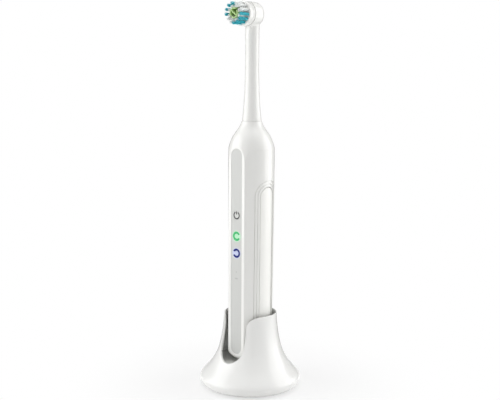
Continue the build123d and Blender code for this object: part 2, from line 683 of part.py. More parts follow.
with BuildPart() as status_light:
    with BuildSketch(Plane.XZ.offset(STRIP_BACK)):
        with Locations((0, STATUS_DOT_HEIGHT)):
            Circle(STATUS_DOT_RADIUS)
        with Locations((0, STATUS_BAR_HEIGHT)):
            SlotOverall(STATUS_BAR_WIDTH, 2 * STATUS_DOT_RADIUS)
    extrude(amount=STRIP_THICKNESS)
    with BuildSketch(Plane.XZ.offset(STRIP_BACK)):
        with Locations((0, STATUS_MIDDLE)):
            Rectangle(STATUS_BAR_WIDTH, STATUS_WINDOW - 2 * SEAT_GAP)
    extrude(amount=-STRIP_THICKNESS)
save(status_light.part, "status_light")

PLUNGER_END = BOARD_FRONT + SWITCH_HEIGHT + PLUNGER_LENGTH
BUTTON_STEM_END = PLUNGER_END + BUTTON_TRAVEL + SEAT_GAP
BUTTON_LIP_FRONT = STRIP_BACK - RUNNING_GAP

with BuildPart() as power_button:
    with BuildSketch(Plane.XZ.offset(BUTTON_LIP_FRONT)):
        with Locations((0, BUTTON_HEIGHT)):
            Circle(BUTTON_RADIUS)
    extrude(amount=STRIP_FRONT - BUTTON_LIP_FRONT)
    with BuildSketch(Plane.XZ.offset(BUTTON_LIP_FRONT)):
        with Locations((0, BUTTON_HEIGHT)):
            Circle(BUTTON_LIP_RADIUS)
    extrude(amount=-BUTTON_LIP_THICKNESS)
    with BuildSketch(Plane.XZ.offset(BUTTON_STEM_END)):
        with Locations((0, BUTTON_HEIGHT)):
            Circle(BUTTON_STEM_RADIUS)
    extrude(amount=BUTTON_LIP_FRONT - BUTTON_STEM_END)
save(power_button.part, "power_button")

# Chassis, battery, board

CHASSIS_RADIUS = HANDLE_BORE_RADIUS - 2 * SEAT_GAP
CHASSIS_BORE = CHASSIS_RADIUS - CHASSIS_WALL
CHASSIS_FRONT = BOARD_FRONT - BOARD_THICKNESS
RAIL_OFFSET = (BOARD_WIDTH - RAIL_WIDTH) / 2

with BuildPart() as chassis:
    with BuildSketch(Plane.XY.offset(CHASSIS_BOTTOM)):
        Circle(CHASSIS_RADIUS)
        Circle(CHASSIS_BORE, mode=Mode.SUBTRACT)
        with Locations((0, -CHASSIS_FRONT)):
            Rectangle(4 * CHASSIS_RADIUS, 2 * CHASSIS_FRONT, mode=Mode.SUBTRACT)
    extrude(amount=MOTOR_TOP - CHASSIS_BOTTOM)
    with BuildSketch(Plane.XY.offset(CHASSIS_BOTTOM)):
        Circle(CHASSIS_RADIUS)
        with Locations((0, -CHASSIS_RADIUS)):
            Rectangle(4 * CHASSIS_RADIUS, 2 * (CHASSIS_RADIUS - CHASSIS_FRONT), mode=Mode.SUBTRACT)
    extrude(amount=CHASSIS_WALL)
    with BuildSketch(Plane.XY.offset(MOTOR_BOTTOM - CHASSIS_WALL - SEAT_GAP)):
        Circle(CHASSIS_RADIUS)
        with Locations((0, -CHASSIS_RADIUS)):
            Rectangle(4 * CHASSIS_RADIUS, 2 * (CHASSIS_RADIUS - CHASSIS_FRONT), mode=Mode.SUBTRACT)
    extrude(amount=CHASSIS_WALL)
    with BuildSketch(Plane.XY.offset(CHASSIS_BOTTOM)):
        with Locations((0, RAIL_DEPTH / 2 - CHASSIS_FRONT)):
            with GridLocations(2 * RAIL_OFFSET, 0, 2, 1):
                Rectangle(RAIL_WIDTH, RAIL_DEPTH)
    extrude(amount=MOTOR_BOTTOM - SEAT_GAP - CHASSIS_BOTTOM)
save(chassis.part, "chassis")

with BuildPart() as battery:
    with BuildSketch(Plane.XY.offset(BATTERY_BOTTOM)):
        with Locations((0, BATTERY_OFFSET)):
            Circle(BATTERY_RADIUS)
    extrude(amount=BATTERY_LENGTH)
    with BuildSketch(Plane.XY.offset(BATTERY_BOTTOM + BATTERY_LENGTH)):
        with Locations((0, BATTERY_OFFSET)):
            Circle(NUB_RADIUS)
    extrude(amount=NUB_HEIGHT)
save(battery.part, "battery")

with BuildPart() as battery_tabs:
    with BuildSketch(Plane.XY.offset(BATTERY_BOTTOM - TAB_THICKNESS)):
        with Locations((0, BATTERY_OFFSET / 2)):
            Rectangle(TAB_WIDTH, TAB_LENGTH)
    extrude(amount=TAB_THICKNESS)
    with BuildSketch(Plane.XY.offset(BATTERY_BOTTOM + BATTERY_LENGTH + NUB_HEIGHT)):
        with Locations((0, BATTERY_OFFSET / 2)):
            Rectangle(TAB_WIDTH, TAB_LENGTH)
    extrude(amount=TAB_THICKNESS)
save(battery_tabs.part, "battery_tabs")

with BuildPart() as main_board:
    with BuildSketch(Plane.XZ.offset(CHASSIS_FRONT)):
        with Locations((0, (BOARD_BOTTOM + BOARD_TOP) / 2)):
            Rectangle(BOARD_WIDTH, BOARD_TOP - BOARD_BOTTOM)
    extrude(amount=BOARD_THICKNESS)
save(main_board.part, "main_board")

with BuildPart() as push_switch:
    with BuildSketch(Plane.XZ.offset(BOARD_FRONT)):
        with Locations((0, BUTTON_HEIGHT)):
            Rectangle(SWITCH_SIZE, SWITCH_SIZE)
    extrude(amount=SWITCH_HEIGHT)
    with BuildSketch(Plane.XZ.offset(BOARD_FRONT + SWITCH_HEIGHT)):
        with Locations((0, BUTTON_HEIGHT)):
            Circle(BUTTON_STEM_RADIUS)
    extrude(amount=PLUNGER_LENGTH)
save(push_switch.part, "push_switch")

with BuildPart() as light_diodes:
    with BuildSketch(Plane.XZ.offset(BOARD_FRONT)):
        with Locations(*[(0, height) for height in (*LIGHT_HEIGHTS, STATUS_MIDDLE)]):
            Rectangle(DIODE_SIZE, DIODE_SIZE)
    extrude(amount=DIODE_HEIGHT)
save(light_diodes.part, "light_diodes")

CHIP_HEIGHTS = ((STATUS_MIDDLE + BLUE_RING_HEIGHT) / 2, (GREEN_RING_HEIGHT + BUTTON_HEIGHT) / 2)

with BuildPart() as board_chips:
    with BuildSketch(Plane.XZ.offset(BOARD_FRONT)):
        with Locations(*[(0, height) for height in CHIP_HEIGHTS]):
            Rectangle(BOARD_CHIP_SIZE, BOARD_CHIP_SIZE)
    extrude(amount=BOARD_CHIP_HEIGHT)
save(board_chips.part, "board_chips")

# Swing motor: stator cup and winding stay, the armature turns a few degrees each way

MOTOR_RADIUS = CHASSIS_BORE - SEAT_GAP
MOTOR_BORE = MOTOR_RADIUS - MOTOR_WALL
ARMATURE_TOP = MOTOR_TOP - 2 * MOTOR_WALL
ARMATURE_BOTTOM = ARMATURE_TOP - ARMATURE_HEIGHT
COIL_BOTTOM = MOTOR_BOTTOM + BEARING_HEIGHT

with BuildPart() as motor_can:
    with BuildSketch(Plane.XZ):
        with BuildLine():
            Polyline(
                (BEARING_RADIUS + SEAT_GAP, MOTOR_BOTTOM),
                (MOTOR_RADIUS, MOTOR_BOTTOM),
                (MOTOR_RADIUS, MOTOR_TOP),
                (SHAFT_HOLE_RADIUS, MOTOR_TOP),
                (SHAFT_HOLE_RADIUS, MOTOR_TOP - MOTOR_WALL),
                (MOTOR_BORE, MOTOR_TOP - MOTOR_WALL),
                (MOTOR_BORE, COIL_BOTTOM),
                (BEARING_RADIUS + SEAT_GAP, COIL_BOTTOM),
                close=True,
            )
        make_face()
    revolve(axis=Axis.Z)
save(motor_can.part, "motor_can")

with BuildPart() as motor_coil:
    with BuildSketch(Plane.XY.offset(COIL_BOTTOM)):
        Circle(MOTOR_BORE - SEAT_GAP)
        Circle(SHAFT_RADIUS + 2 * LOOSE_GAP, mode=Mode.SUBTRACT)
    extrude(amount=ARMATURE_BOTTOM - COIL_BOTTOM - LOOSE_GAP)
save(motor_coil.part, "motor_coil")

BEARING_HEIGHTS = {"lower_bearing": MOTOR_BOTTOM, "upper_bearing": UPPER_BEARING_BOTTOM}
for bearing_name, bearing_bottom in BEARING_HEIGHTS.items():
    with BuildPart() as bearing:
        with BuildSketch(Plane.XY.offset(bearing_bottom)):
            Circle(BEARING_RADIUS)
            Circle(SHAFT_RADIUS + RUNNING_GAP, mode=Mode.SUBTRACT)
        extrude(amount=BEARING_HEIGHT)
    save(bearing.part, bearing_name)

with BuildPart() as shaft_seal:
    with BuildSketch(Plane.XZ):
        with BuildLine():
            Polyline(
                (SHAFT_RADIUS + RUNNING_GAP, SEAL_BOTTOM),
                (SEAL_RADIUS, SEAL_BOTTOM),
                (SEAL_RADIUS, NOZZLE_TOP),
                (SEAL_RADIUS - LOOSE_GAP, NOZZLE_TOP),
                (SHAFT_RADIUS + RUNNING_GAP, NOZZLE_TOP - NOZZLE_HEIGHT / 2),
                close=True,
            )
        make_face()
    revolve(axis=Axis.Z)
save(shaft_seal.part, "shaft_seal")

with BuildPart() as drive_shaft:
    with BuildSketch(Plane.XY.offset(MOTOR_BOTTOM + LOOSE_GAP)):
        Circle(SHAFT_RADIUS)
    extrude(amount=SHAFT_TOP - MOTOR_BOTTOM - LOOSE_GAP)
    with BuildSketch(Plane.XY.offset(SHAFT_FLAT_BOTTOM)):
        with Locations((0, SHAFT_RADIUS)):
            Rectangle(2 * SHAFT_RADIUS, 2 * SHAFT_FLAT)
    extrude(amount=SHAFT_TOP - SHAFT_FLAT_BOTTOM, mode=Mode.SUBTRACT)
    tip = drive_shaft.faces().sort_by(Axis.Z)[-1].edges()
    chamfer(tip, SHAFT_TIP_CHAMFER)
save(drive_shaft.part, "drive_shaft")

with BuildPart() as armature:
    with BuildSketch(Plane.XY.offset(ARMATURE_BOTTOM)):
        Circle(ARMATURE_RADIUS)
        Circle(SHAFT_RADIUS, mode=Mode.SUBTRACT)
    extrude(amount=ARMATURE_HEIGHT)
save(armature.part, "armature")

MAGNET_RADIUS = ARMATURE_RADIUS + MAGNET_THICKNESS

with BuildPart() as magnets:
    with BuildSketch(Plane.XY.offset(ARMATURE_BOTTOM)):
        Circle(MAGNET_RADIUS)
        Circle(ARMATURE_RADIUS, mode=Mode.SUBTRACT)
        with PolarLocations(MAGNET_RADIUS, MAGNET_COUNT):
            Rectangle(2 * MAGNET_RADIUS, MAGNET_SPACING, mode=Mode.SUBTRACT)
    extrude(amount=ARMATURE_HEIGHT)
save(magnets.part, "magnets")

# Bottom of the handle: cap with the well for the charging post, seal, receiving winding

WELL_RADIUS = POST_RADIUS + 2 * LOOSE_GAP
WELL_TOP = POST_TOP + 2 * LOOSE_GAP
CAP_BOTTOM = HANDLE_BOTTOM + END_CAP_SINK
CAP_TOP = CAP_BOTTOM + END_CAP_THICKNESS
CAP_RADIUS = HANDLE_BORE_RADIUS - SEAT_GAP
SEAL_RING_HEIGHT = CAP_TOP + 2 * SEAL_WIRE
SPIGOT_RADIUS = CAP_RADIUS - 2 * SEAL_WIRE
SPIGOT_TOP = CAP_TOP + 4 * SEAL_WIRE

with BuildPart() as end_cap:
    with BuildSketch(Plane.XZ):
        with BuildLine():
            Polyline(
                (WELL_RADIUS, CAP_BOTTOM),
                (CAP_RADIUS, CAP_BOTTOM),
                (CAP_RADIUS, CAP_TOP),
                (SPIGOT_RADIUS, CAP_TOP),
                (SPIGOT_RADIUS, SPIGOT_TOP),
                (WELL_RADIUS + WELL_WALL, SPIGOT_TOP),
                (WELL_RADIUS + WELL_WALL, WELL_TOP + WELL_WALL),
                (0, WELL_TOP + WELL_WALL),
                (0, WELL_TOP),
                (WELL_RADIUS, WELL_TOP),
                close=True,
            )
        make_face()
    revolve(axis=Axis.Z)
save(end_cap.part, "end_cap")

with BuildPart() as cap_seal:
    with BuildSketch(Plane.XZ):
        with Locations((SPIGOT_RADIUS + SEAL_WIRE, SEAL_RING_HEIGHT)):
            Circle(SEAL_WIRE - RUNNING_GAP)
    revolve(axis=Axis.Z)
save(cap_seal.part, "cap_seal")

with BuildPart() as receiving_coil:
    with BuildSketch(Plane.XY.offset(SPIGOT_TOP)):
        Circle(SPIGOT_RADIUS)
        Circle(WELL_RADIUS + WELL_WALL + SEAT_GAP, mode=Mode.SUBTRACT)
    extrude(amount=WELL_TOP - SPIGOT_TOP)
save(receiving_coil.part, "receiving_coil")

# Brush head: hollow stem with the round housing at its top

STEM_BOTTOM = SHOULDER_TOP + LOOSE_GAP
STEM_TOP = HEAD_CENTRE - HEAD_RADIUS / 2
ROD_BOTTOM = NOZZLE_TOP + 2 * LOOSE_GAP
ROD_TOP = HEAD_CENTRE - HUB_RADIUS - LOOSE_GAP
STEM_BORES = (
    (NOZZLE_RADIUS + SEAT_GAP, NOZZLE_TOP),
    (ROD_FOOT_RADIUS + 2 * SEAT_GAP, ROD_FOOT_TOP),
    (ROD_RADIUS + 2 * SEAT_GAP, ROD_TOP),
)
HEAD_POCKET_RADIUS = HUB_RADIUS + 2 * LOOSE_GAP
HEAD_POCKET_BACK = HUB_BACK - 2 * LOOSE_GAP
PLATE_BACK = HEAD_FACE + PLATE_GAP
PLATE_FRONT = PLATE_BACK + PLATE_THICKNESS
AXLE_FRONT = PLATE_BACK + PLATE_THICKNESS / 2

with BuildPart() as brush_stem:
    with BuildSketch(Plane.XZ):
        with BuildLine():
            flank = Spline(
                (STEM_BOTTOM_RADIUS, STEM_BOTTOM),
                (STEM_WAIST_RADIUS, SHOULDER_TOP + STEM_WAIST_RISE),
                (STEM_TOP_RADIUS, STEM_TOP),
                tangents=(STEM_BOTTOM_SLOPE, (0, 1)),
            )
            Line(flank @ 1, (0, STEM_TOP))
            Line((0, STEM_TOP), (0, STEM_BOTTOM))
            Line((0, STEM_BOTTOM), flank @ 0)
        make_face()
    revolve(axis=Axis.Z)
    with BuildSketch(Plane.XZ.offset(-HEAD_BACK)):
        with Locations((0, HEAD_CENTRE)):
            Circle(HEAD_RADIUS)
    head_block = extrude(amount=HEAD_BACK + HEAD_FACE, mode=Mode.PRIVATE)
    back_edge = head_block.edges().filter_by(GeomType.CIRCLE).sort_by(Axis.Y)[-1]
    add(head_block.fillet(HEAD_BACK_ROUND, [back_edge]))
    curved_edges = brush_stem.edges().filter_by(GeomType.BSPLINE)
    fillet([edge for edge in curved_edges if edge.center().Z > HEAD_CENTRE - 2 * HEAD_RADIUS], STEM_BLEND)
    for bore_radius, bore_top in STEM_BORES:
        with BuildSketch(Plane.XY.offset(STEM_BOTTOM)):
            Circle(bore_radius)
        extrude(amount=bore_top + LOOSE_GAP - STEM_BOTTOM, mode=Mode.SUBTRACT)
    with BuildSketch(Plane.XZ.offset(HEAD_FACE)):
        with Locations((0, HEAD_CENTRE)):
            Circle(HEAD_POCKET_RADIUS)
    extrude(amount=HEAD_POCKET_BACK - HEAD_FACE, mode=Mode.SUBTRACT)
    with BuildSketch(Plane.XZ.offset(HEAD_FACE)):
        with Locations((0, HEAD_CENTRE)):
            Circle(AXLE_RADIUS)
    extrude(amount=-HEAD_FACE - AXLE_BACK, mode=Mode.SUBTRACT)
save(brush_stem.part, "brush_stem")

with BuildPart() as head_axle:
    with BuildSketch(Plane.XZ.offset(-AXLE_BACK)):
        with Locations((0, HEAD_CENTRE)):
            Circle(AXLE_RADIUS)
    extrude(amount=AXLE_BACK + AXLE_FRONT)
save(head_axle.part, "head_axle")

CRANK_HEIGHT = HEAD_CENTRE - CRANK_DROP

with BuildPart() as drive_rod:
    with BuildSketch(Plane.XY.offset(ROD_BOTTOM)):
        Circle(ROD_FOOT_RADIUS)
    extrude(amount=ROD_FOOT_TOP - ROD_BOTTOM)
    with BuildSketch(Plane.XY.offset(ROD_FOOT_TOP)):
        Circle(ROD_RADIUS)
    extrude(amount=ROD_TOP - ROD_FOOT_TOP)
    with BuildSketch(Plane.XY.offset(ROD_TOP)):
        with Locations((0, -CRANK_OFFSET)):
            Circle(CRANK_PIN_RADIUS)
    extrude(amount=CRANK_HEIGHT - ROD_TOP)
    with Locations((0, -CRANK_OFFSET, CRANK_HEIGHT)):
        Sphere(CRANK_BALL_RADIUS)
    with BuildSketch(Plane.XY.offset(ROD_BOTTOM)):
        Circle(SHAFT_RADIUS + RUNNING_GAP)
    extrude(amount=SHAFT_TOP + LOOSE_GAP - ROD_BOTTOM, mode=Mode.SUBTRACT)
    with BuildSketch(Plane.XY.offset(SHAFT_FLAT_BOTTOM + LOOSE_GAP)):
        with Locations((0, SHAFT_RADIUS)):
            Rectangle(2 * SHAFT_RADIUS, 2 * (SHAFT_FLAT - RUNNING_GAP))
    extrude(amount=SHAFT_TOP - SHAFT_FLAT_BOTTOM)
save(drive_rod.part, "drive_rod")

# Oscillating plate, with a forked hub that the crank ball swings

FORK_HALF = CRANK_BALL_RADIUS + FORK_CLEARANCE
FORK_TOP = CRANK_DROP - FORK_HALF
FORK_STRAIGHT = CRANK_DROP + FORK_HALF
FORK_MOUTH_HALF = 2 * FORK_HALF

TUFT_FLOOR = PLATE_FRONT - TUFT_ROOT
WING_BASE_RADIUS = WING_CIRCLE + WING_THICKNESS / 2 + RUNNING_GAP


def tuft_sites(count, circle, keep):
    """Places of the tufts on one circle of the plate, in its own plane, that keep picks by number."""
    turns = [math.radians(90 + 360 * (n + 0.5) / count) for n in range(count) if keep(n)]
    return [(circle * math.cos(t), HEAD_CENTRE + circle * math.sin(t)) for t in turns]


def outer_is_teal(number):
    """Whether a tuft of the outer circle is dyed."""
    return number in TEAL_TUFTS


TEAL_SITES = tuft_sites(OUTER_TUFT_COUNT, OUTER_TUFT_CIRCLE, outer_is_teal)
WHITE_SITES = tuft_sites(OUTER_TUFT_COUNT, OUTER_TUFT_CIRCLE, lambda n: not outer_is_teal(n))
INNER_SITES = tuft_sites(INNER_TUFT_COUNT, INNER_TUFT_CIRCLE, lambda n: True)

with BuildPart() as bristle_plate:
    with BuildSketch(Plane.XZ.offset(PLATE_BACK)):
        with Locations((0, HEAD_CENTRE)):
            Circle(PLATE_RADIUS)
    extrude(amount=PLATE_THICKNESS)
    front_edge = bristle_plate.edges().filter_by(GeomType.CIRCLE).sort_by(Axis.Y)[0]
    fillet(front_edge, PLATE_ROUND)
    with BuildSketch(Plane.XZ.offset(PLATE_BACK)):
        with Locations((0, HEAD_CENTRE)):
            Circle(HUB_RADIUS)
            Polygon(
                (FORK_HALF, -FORK_TOP),
                (FORK_HALF, -FORK_STRAIGHT),
                (FORK_MOUTH_HALF, -HUB_RADIUS),
                (0, -2 * HUB_RADIUS),
                (-FORK_MOUTH_HALF, -HUB_RADIUS),
                (-FORK_HALF, -FORK_STRAIGHT),
                (-FORK_HALF, -FORK_TOP),
                align=None,
                mode=Mode.SUBTRACT,
            )
    extrude(amount=HUB_BACK - PLATE_BACK)
    with BuildSketch(Plane.XZ.offset(AXLE_FRONT + RUNNING_GAP)):
        with Locations((0, HEAD_CENTRE)):
            Circle(AXLE_RADIUS + RUNNING_GAP)
    extrude(amount=-AXLE_FRONT, mode=Mode.SUBTRACT)
    with BuildSketch(Plane.XZ.offset(TUFT_FLOOR)):
        with Locations(*TEAL_SITES, *WHITE_SITES, *INNER_SITES):
            Circle(TUFT_RADIUS)
        with Locations((0, HEAD_CENTRE)):
            Circle(WING_BASE_RADIUS)
    extrude(amount=TUFT_ROOT, mode=Mode.SUBTRACT)
save(bristle_plate.part, "bristle_plate")


def tufts(sites, length):
    """Bristle tufts: a round root in its hole, with square strands that rise from it."""
    with BuildPart() as bunch:
        with BuildSketch(Plane.XZ.offset(TUFT_FLOOR)):
            with Locations(*sites):
                Circle(TUFT_RADIUS)
        extrude(amount=TUFT_ROOT)
        with BuildSketch(Plane.XZ.offset(PLATE_FRONT)):
            for x, z in sites:
                with Locations(Location((x, z), math.degrees(math.atan2(z - HEAD_CENTRE, x)))):
                    with GridLocations(STRAND_PITCH, STRAND_PITCH, TUFT_ROW, TUFT_ROW):
                        Rectangle(STRAND_SIDE, STRAND_SIDE)
        extrude(amount=length)
    return bunch.part


save(tufts(TEAL_SITES, LONG_BRISTLE), "teal_tufts")
save(tufts(WHITE_SITES, SHORT_BRISTLE), "white_tufts")
save(tufts(INNER_SITES, SHORT_BRISTLE), "inner_tufts")

with BuildPart() as green_wings:
    with BuildSketch(Plane.XZ.offset(TUFT_FLOOR)):
        with Locations((0, HEAD_CENTRE)):
            Circle(WING_BASE_RADIUS)
    extrude(amount=TUFT_ROOT)
    with BuildSketch(Plane.XZ.offset(PLATE_FRONT)):
        with Locations((0, HEAD_CENTRE)):
            Circle(WING_CIRCLE + WING_THICKNESS / 2)
            Circle(WING_CIRCLE - WING_THICKNESS / 2, mode=Mode.SUBTRACT)
            for turn in (45, 225):
                with Locations(Rotation(0, 0, turn)):
                    reach = 2 * WING_CIRCLE
                    half = reach * math.tan(math.radians(WING_GAP_ANGLE / 2))
                    Polygon((0, 0), (reach, half), (reach, -half), align=None, mode=Mode.SUBTRACT)
            Rectangle(2 * WING_CIRCLE + WING_THICKNESS * 0.6, WING_THICKNESS, rotation=-45)
    extrude(amount=WING_LENGTH)
save(green_wings.part, "green_wings")
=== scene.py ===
import math

import bmesh
import bpy
from mathutils import Matrix, Vector


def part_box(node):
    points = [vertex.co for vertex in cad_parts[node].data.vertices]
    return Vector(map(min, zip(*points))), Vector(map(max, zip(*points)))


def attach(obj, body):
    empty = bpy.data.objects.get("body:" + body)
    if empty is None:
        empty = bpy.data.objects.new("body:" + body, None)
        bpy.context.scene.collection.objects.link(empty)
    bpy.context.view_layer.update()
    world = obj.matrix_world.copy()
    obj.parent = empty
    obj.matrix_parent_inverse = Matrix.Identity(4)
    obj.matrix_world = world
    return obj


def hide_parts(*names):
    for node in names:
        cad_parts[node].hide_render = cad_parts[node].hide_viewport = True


bl_info = {
    "name": "Electric toothbrush on charger",
    "version": (1, 0, 0),
    "blender": (4, 5, 0),
    "location": "View3D > Sidebar > Toothbrush",
    "description": "Finishes, bristles, wings and stage of an electric toothbrush that stands in its charger",
    "category": "Object",
}

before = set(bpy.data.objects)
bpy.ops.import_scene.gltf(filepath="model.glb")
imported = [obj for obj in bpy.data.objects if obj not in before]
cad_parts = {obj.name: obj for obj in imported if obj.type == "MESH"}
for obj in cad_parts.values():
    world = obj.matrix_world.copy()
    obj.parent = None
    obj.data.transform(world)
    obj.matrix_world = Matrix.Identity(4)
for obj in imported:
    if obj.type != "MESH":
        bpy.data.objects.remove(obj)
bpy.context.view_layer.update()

MM = 0.001

# Camera: width, focal length and sideways shift in the photograph's pixels, and its sensor in millimetres
PHOTO_WIDTH = 500
FOCAL_LENGTH = 900
SIDE_SHIFT = -1.2
SENSOR_WIDTH = 36
CLIP_START = 0.01

# Lamps, in metres from the point that the camera looks at
SIDE_REACH, SIDE_LEAN, SIDE_RISE = 0.5, 0.05, 0.04
SIDE_SIZE = (0.5, 0.8)
TOP_LEAN, TOP_RISE = 0.1, 0.7
TOP_SIZE = (0.7, 0.7)

# Floor: radius in metres, and the distances in millimetres between which its shadow fades into white
FLOOR_RADIUS, FLOOR_SIDES = 3.0, 64
FLOOR_GREY, FLOOR_ROUGHNESS = 0.86, 0.7
SHADOW_FROM, SHADOW_TO = 30, 120
SHADOW_WHITE = 0.55

# Dark cards behind the object: degrees from straight behind, and metres
CARD_FROM, CARD_TO = 4, 62
CARD_FOOT, CARD_TOP = 0.002, 0.5
CARD_STEPS = 12
# Name and distance of each pair of cards, and whether it shades the object too or only shows in its gloss
CARDS = (("cards", 0.38, True), ("near_cards", 0.09, False))

# Middle of the bell's wall in millimetres: its radius grows with the square of the depth under its top
BELL_TOP, BELL_RADIUS, BELL_GROWTH = 46.0, 16.0, 0.0069
# Dark grey of the painted shade on the bell's inner face, which comes in between two heights in millimetres
INSIDE_FROM, INSIDE_TO = 24.0, 44.0
INSIDE_SHADE = (40, 40, 39)
INSIDE_SHADE_SHARE = 0.5
# Light that the thin bell lets through: its share, and its way in millimetres
SHELL_SHARE, SHELL_WAY = 0.4, 2.0

# Range that most of a noise lies in
NOISE_LOW, NOISE_HIGH = 0.3, 0.7

# Turned pieces, and the height and edges of the tuft bed in millimetres
TURNED_SIDES = 64
BED_HEIGHT = 2.0
EDGE_BREAK = 0.2
ROUND_STEPS = 5
# Edges that bend more than this stay sharp
SHARP_ANGLE = math.radians(50)

# Tufts: the teal ones of the outer circle, the turn of the inner circle, and the roots' depth in millimetres
OUTER_TUFTS = 13
TEAL_TUFTS = (0, 1, 2, 3, 6, 7, 8, 9)
INNER_TURN = math.radians(22.5)
TUFT_SINK = 0.3
# One filament: sides, parts along it, tip against root, and the shortest against the longest
STRAND_SIDES, STRAND_PARTS = 6, 3
STRAND_TAPER = 0.8
STRAND_TRIM = 0.965
GOLDEN_ANGLE = math.pi * (3 - math.sqrt(5))

# Wings: share of the way to the tip, millimetres short of it, and share of the thickness there
WING_LEVELS = ((0, 0, 1.0), (0.6, 0, 0.9), (1, 0.5, 0.85), (1, 0.12, 0.75), (1, 0, 0.5))
WING_SINK = 0.2
# Painted shade at the wings' root, as a share of their colour
WING_ROOT_PAINTED_SHADE = 0.08
# Curved walls in degrees, and the bar between them, whose half length is a share of their radius
WING_STARTS, WING_SPAN, WING_STEPS = (-120, 60), 150, 24
BAR_SHARE, BAR_STEPS = 0.66, 12

# Printed and lit signs on the strip, in millimetres
PRINT_RISE = 0.015
PRINT_DEPTH = 0.05
ARC_STEPS = 40
# Ends of the power sign's dash, as shares of its ring's radius
DASH_FOOT, DASH_TOP = 0.25, 1.15

# Painted halo of light round a lit ring, in millimetres from its middle
HALO_CORE, HALO_EDGE = 2.2, 4.5
HALO_SHARE, HALO_GLOW = 0.5, 0.2

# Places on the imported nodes, in millimetres
PLATE_LOW, PLATE_HIGH = (Vector(corner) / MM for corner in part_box("bristle_plate"))
HEAD_CENTRE = (PLATE_LOW.z + PLATE_HIGH.z) / 2
PLATE_FRONT = -PLATE_LOW.y
BUTTON_LOW, BUTTON_HIGH = (Vector(corner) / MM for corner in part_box("power_button"))
BUTTON_HEIGHT = (BUTTON_LOW.z + BUTTON_HIGH.z) / 2
BUTTON_FRONT = -BUTTON_LOW.y
STEM_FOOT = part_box("brush_stem")[0][2] / MM
# Middles of the lit rings, in metres
GREEN_RING = sum((Vector(corner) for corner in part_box("green_light_ring")), Vector()) / 2
BLUE_RING = sum((Vector(corner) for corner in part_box("blue_light_ring")), Vector()) / 2


def shade(red, green, blue):
    """Linear colour of a screen colour given in 0 to 255."""

    def linear(value):
        value /= 255
        return value / 12.92 if value <= 0.04045 else ((value + 0.055) / 1.055) ** 2.4

    return (linear(red), linear(green), linear(blue))


def colour_prop(name, description, default):
    """Colour that a user may change."""
    return bpy.props.FloatVectorProperty(
        name=name, description=description, subtype="COLOR", size=3, min=0, max=1, default=default
    )


def length_prop(name, description, millimetres):
    """Length in metres, with its default given in millimetres."""
    return bpy.props.FloatProperty(
        name=name, description=description, default=millimetres * MM, unit="LENGTH", precision=5
    )


def angle_prop(name, description, degrees):
    """Angle in radians, with its default given in degrees."""
    return bpy.props.FloatProperty(
        name=name, description=description, default=math.radians(degrees), subtype="ANGLE"
    )


def count_prop(name, description, default, least, most):
    """Whole number between two limits."""
    return bpy.props.IntProperty(name=name, description=description, default=default, min=least, max=most)


def level_prop(name, description, default):
    """Power, strength or grey of the stage."""
    return bpy.props.FloatProperty(name=name, description=description, default=default, min=0)


class ToothbrushColours(bpy.types.PropertyGroup):
    """Colours of the visible plastics, lights and bristles"""

    casing: colour_prop("Casing", "White gloss plastic of handle, charger and head", shade(246, 246, 243))
    grip: colour_prop("Side grip", "Satin white of the two side grips", shade(250, 250, 246))
    strip: colour_prop("Front strip", "Silver-grey inlay on the handle's front", shade(208, 209, 206))
    sign: colour_prop("Power sign", "Dark grey print on the button", shade(40, 40, 42))
    green_light: colour_prop("Green light", "Lit ring of the first mode", shade(60, 190, 112))
    blue_light: colour_prop("Blue light", "Lit ring of the second mode", shade(5, 24, 120))
    green_halo: colour_prop("Green halo", "Glow on the strip round the green ring", shade(150, 250, 182))
    blue_halo: colour_prop("Blue halo", "Glow on the strip round the blue ring", shade(178, 192, 250))
    teal: colour_prop("Teal bristles", "Dyed outer tufts", shade(32, 182, 196))
    white: colour_prop("White bristles", "Undyed tufts", shade(240, 242, 241))
    wing: colour_prop("Cleaning wings", "Green elastomer in the middle of the brush", shade(178, 210, 142))


class ToothbrushBristles(bpy.types.PropertyGroup):
    """Sizes of the tufts on the swinging plate"""

    strand_radius: length_prop("Strand radius", "Radius of one filament", 0.1)
    tuft_radius: length_prop("Tuft radius", "Radius of one tuft at its root", 0.84)
    long_tuft: length_prop("Long tuft", "Free length of the teal tufts", 9.7)
    short_tuft: length_prop("Short tuft", "Free length of the white tufts", 9.0)
    outer_circle: length_prop("Outer circle", "Radius of the circle of outer tufts", 5.95)
    inner_circle: length_prop("Inner circle", "Radius of the circle of inner tufts", 4.15)
    outer_count: count_prop("Outer tufts", "Tufts on the outer circle", OUTER_TUFTS, 6, 24)
    inner_count: count_prop("Inner tufts", "Tufts on the inner circle", 8, 4, 24)
    strands: count_prop("Strands", "Filaments in one tuft", 46, 8, 90)
    splay: bpy.props.FloatProperty(
        name="Splay",
        description="How far a filament may lean",
        default=0.035,
        min=0,
        max=0.3,
        subtype="ANGLE",
    )
    first_angle: angle_prop("First tuft", "Turn of the first outer tuft", 103.85)


class ToothbrushStage(bpy.types.PropertyGroup):
    """Camera and lamps of the studio"""

    azimuth: angle_prop("Azimuth", "Camera's turn to the right of the front", 40.5)
    elevation: angle_prop("Elevation", "Camera's height angle", 8.0)
    roll: angle_prop("Roll", "Lean of the picture", 0.4)
    distance: length_prop("Distance", "From the camera to the brush axis", 560)
    target: length_prop("Target", "Height that the camera looks at", 118)
    side_power: level_prop("Side lamps", "Power of each side lamp in watts", 2.4)
    top_power: level_prop("Top lamp", "Power of the top lamp in watts", 3.6)
    ambient: level_prop("Ambient", "Strength of the even light", 0.4)
    card: level_prop("Cards", "Grey of the cards behind the object", 0.05)


# Finishes


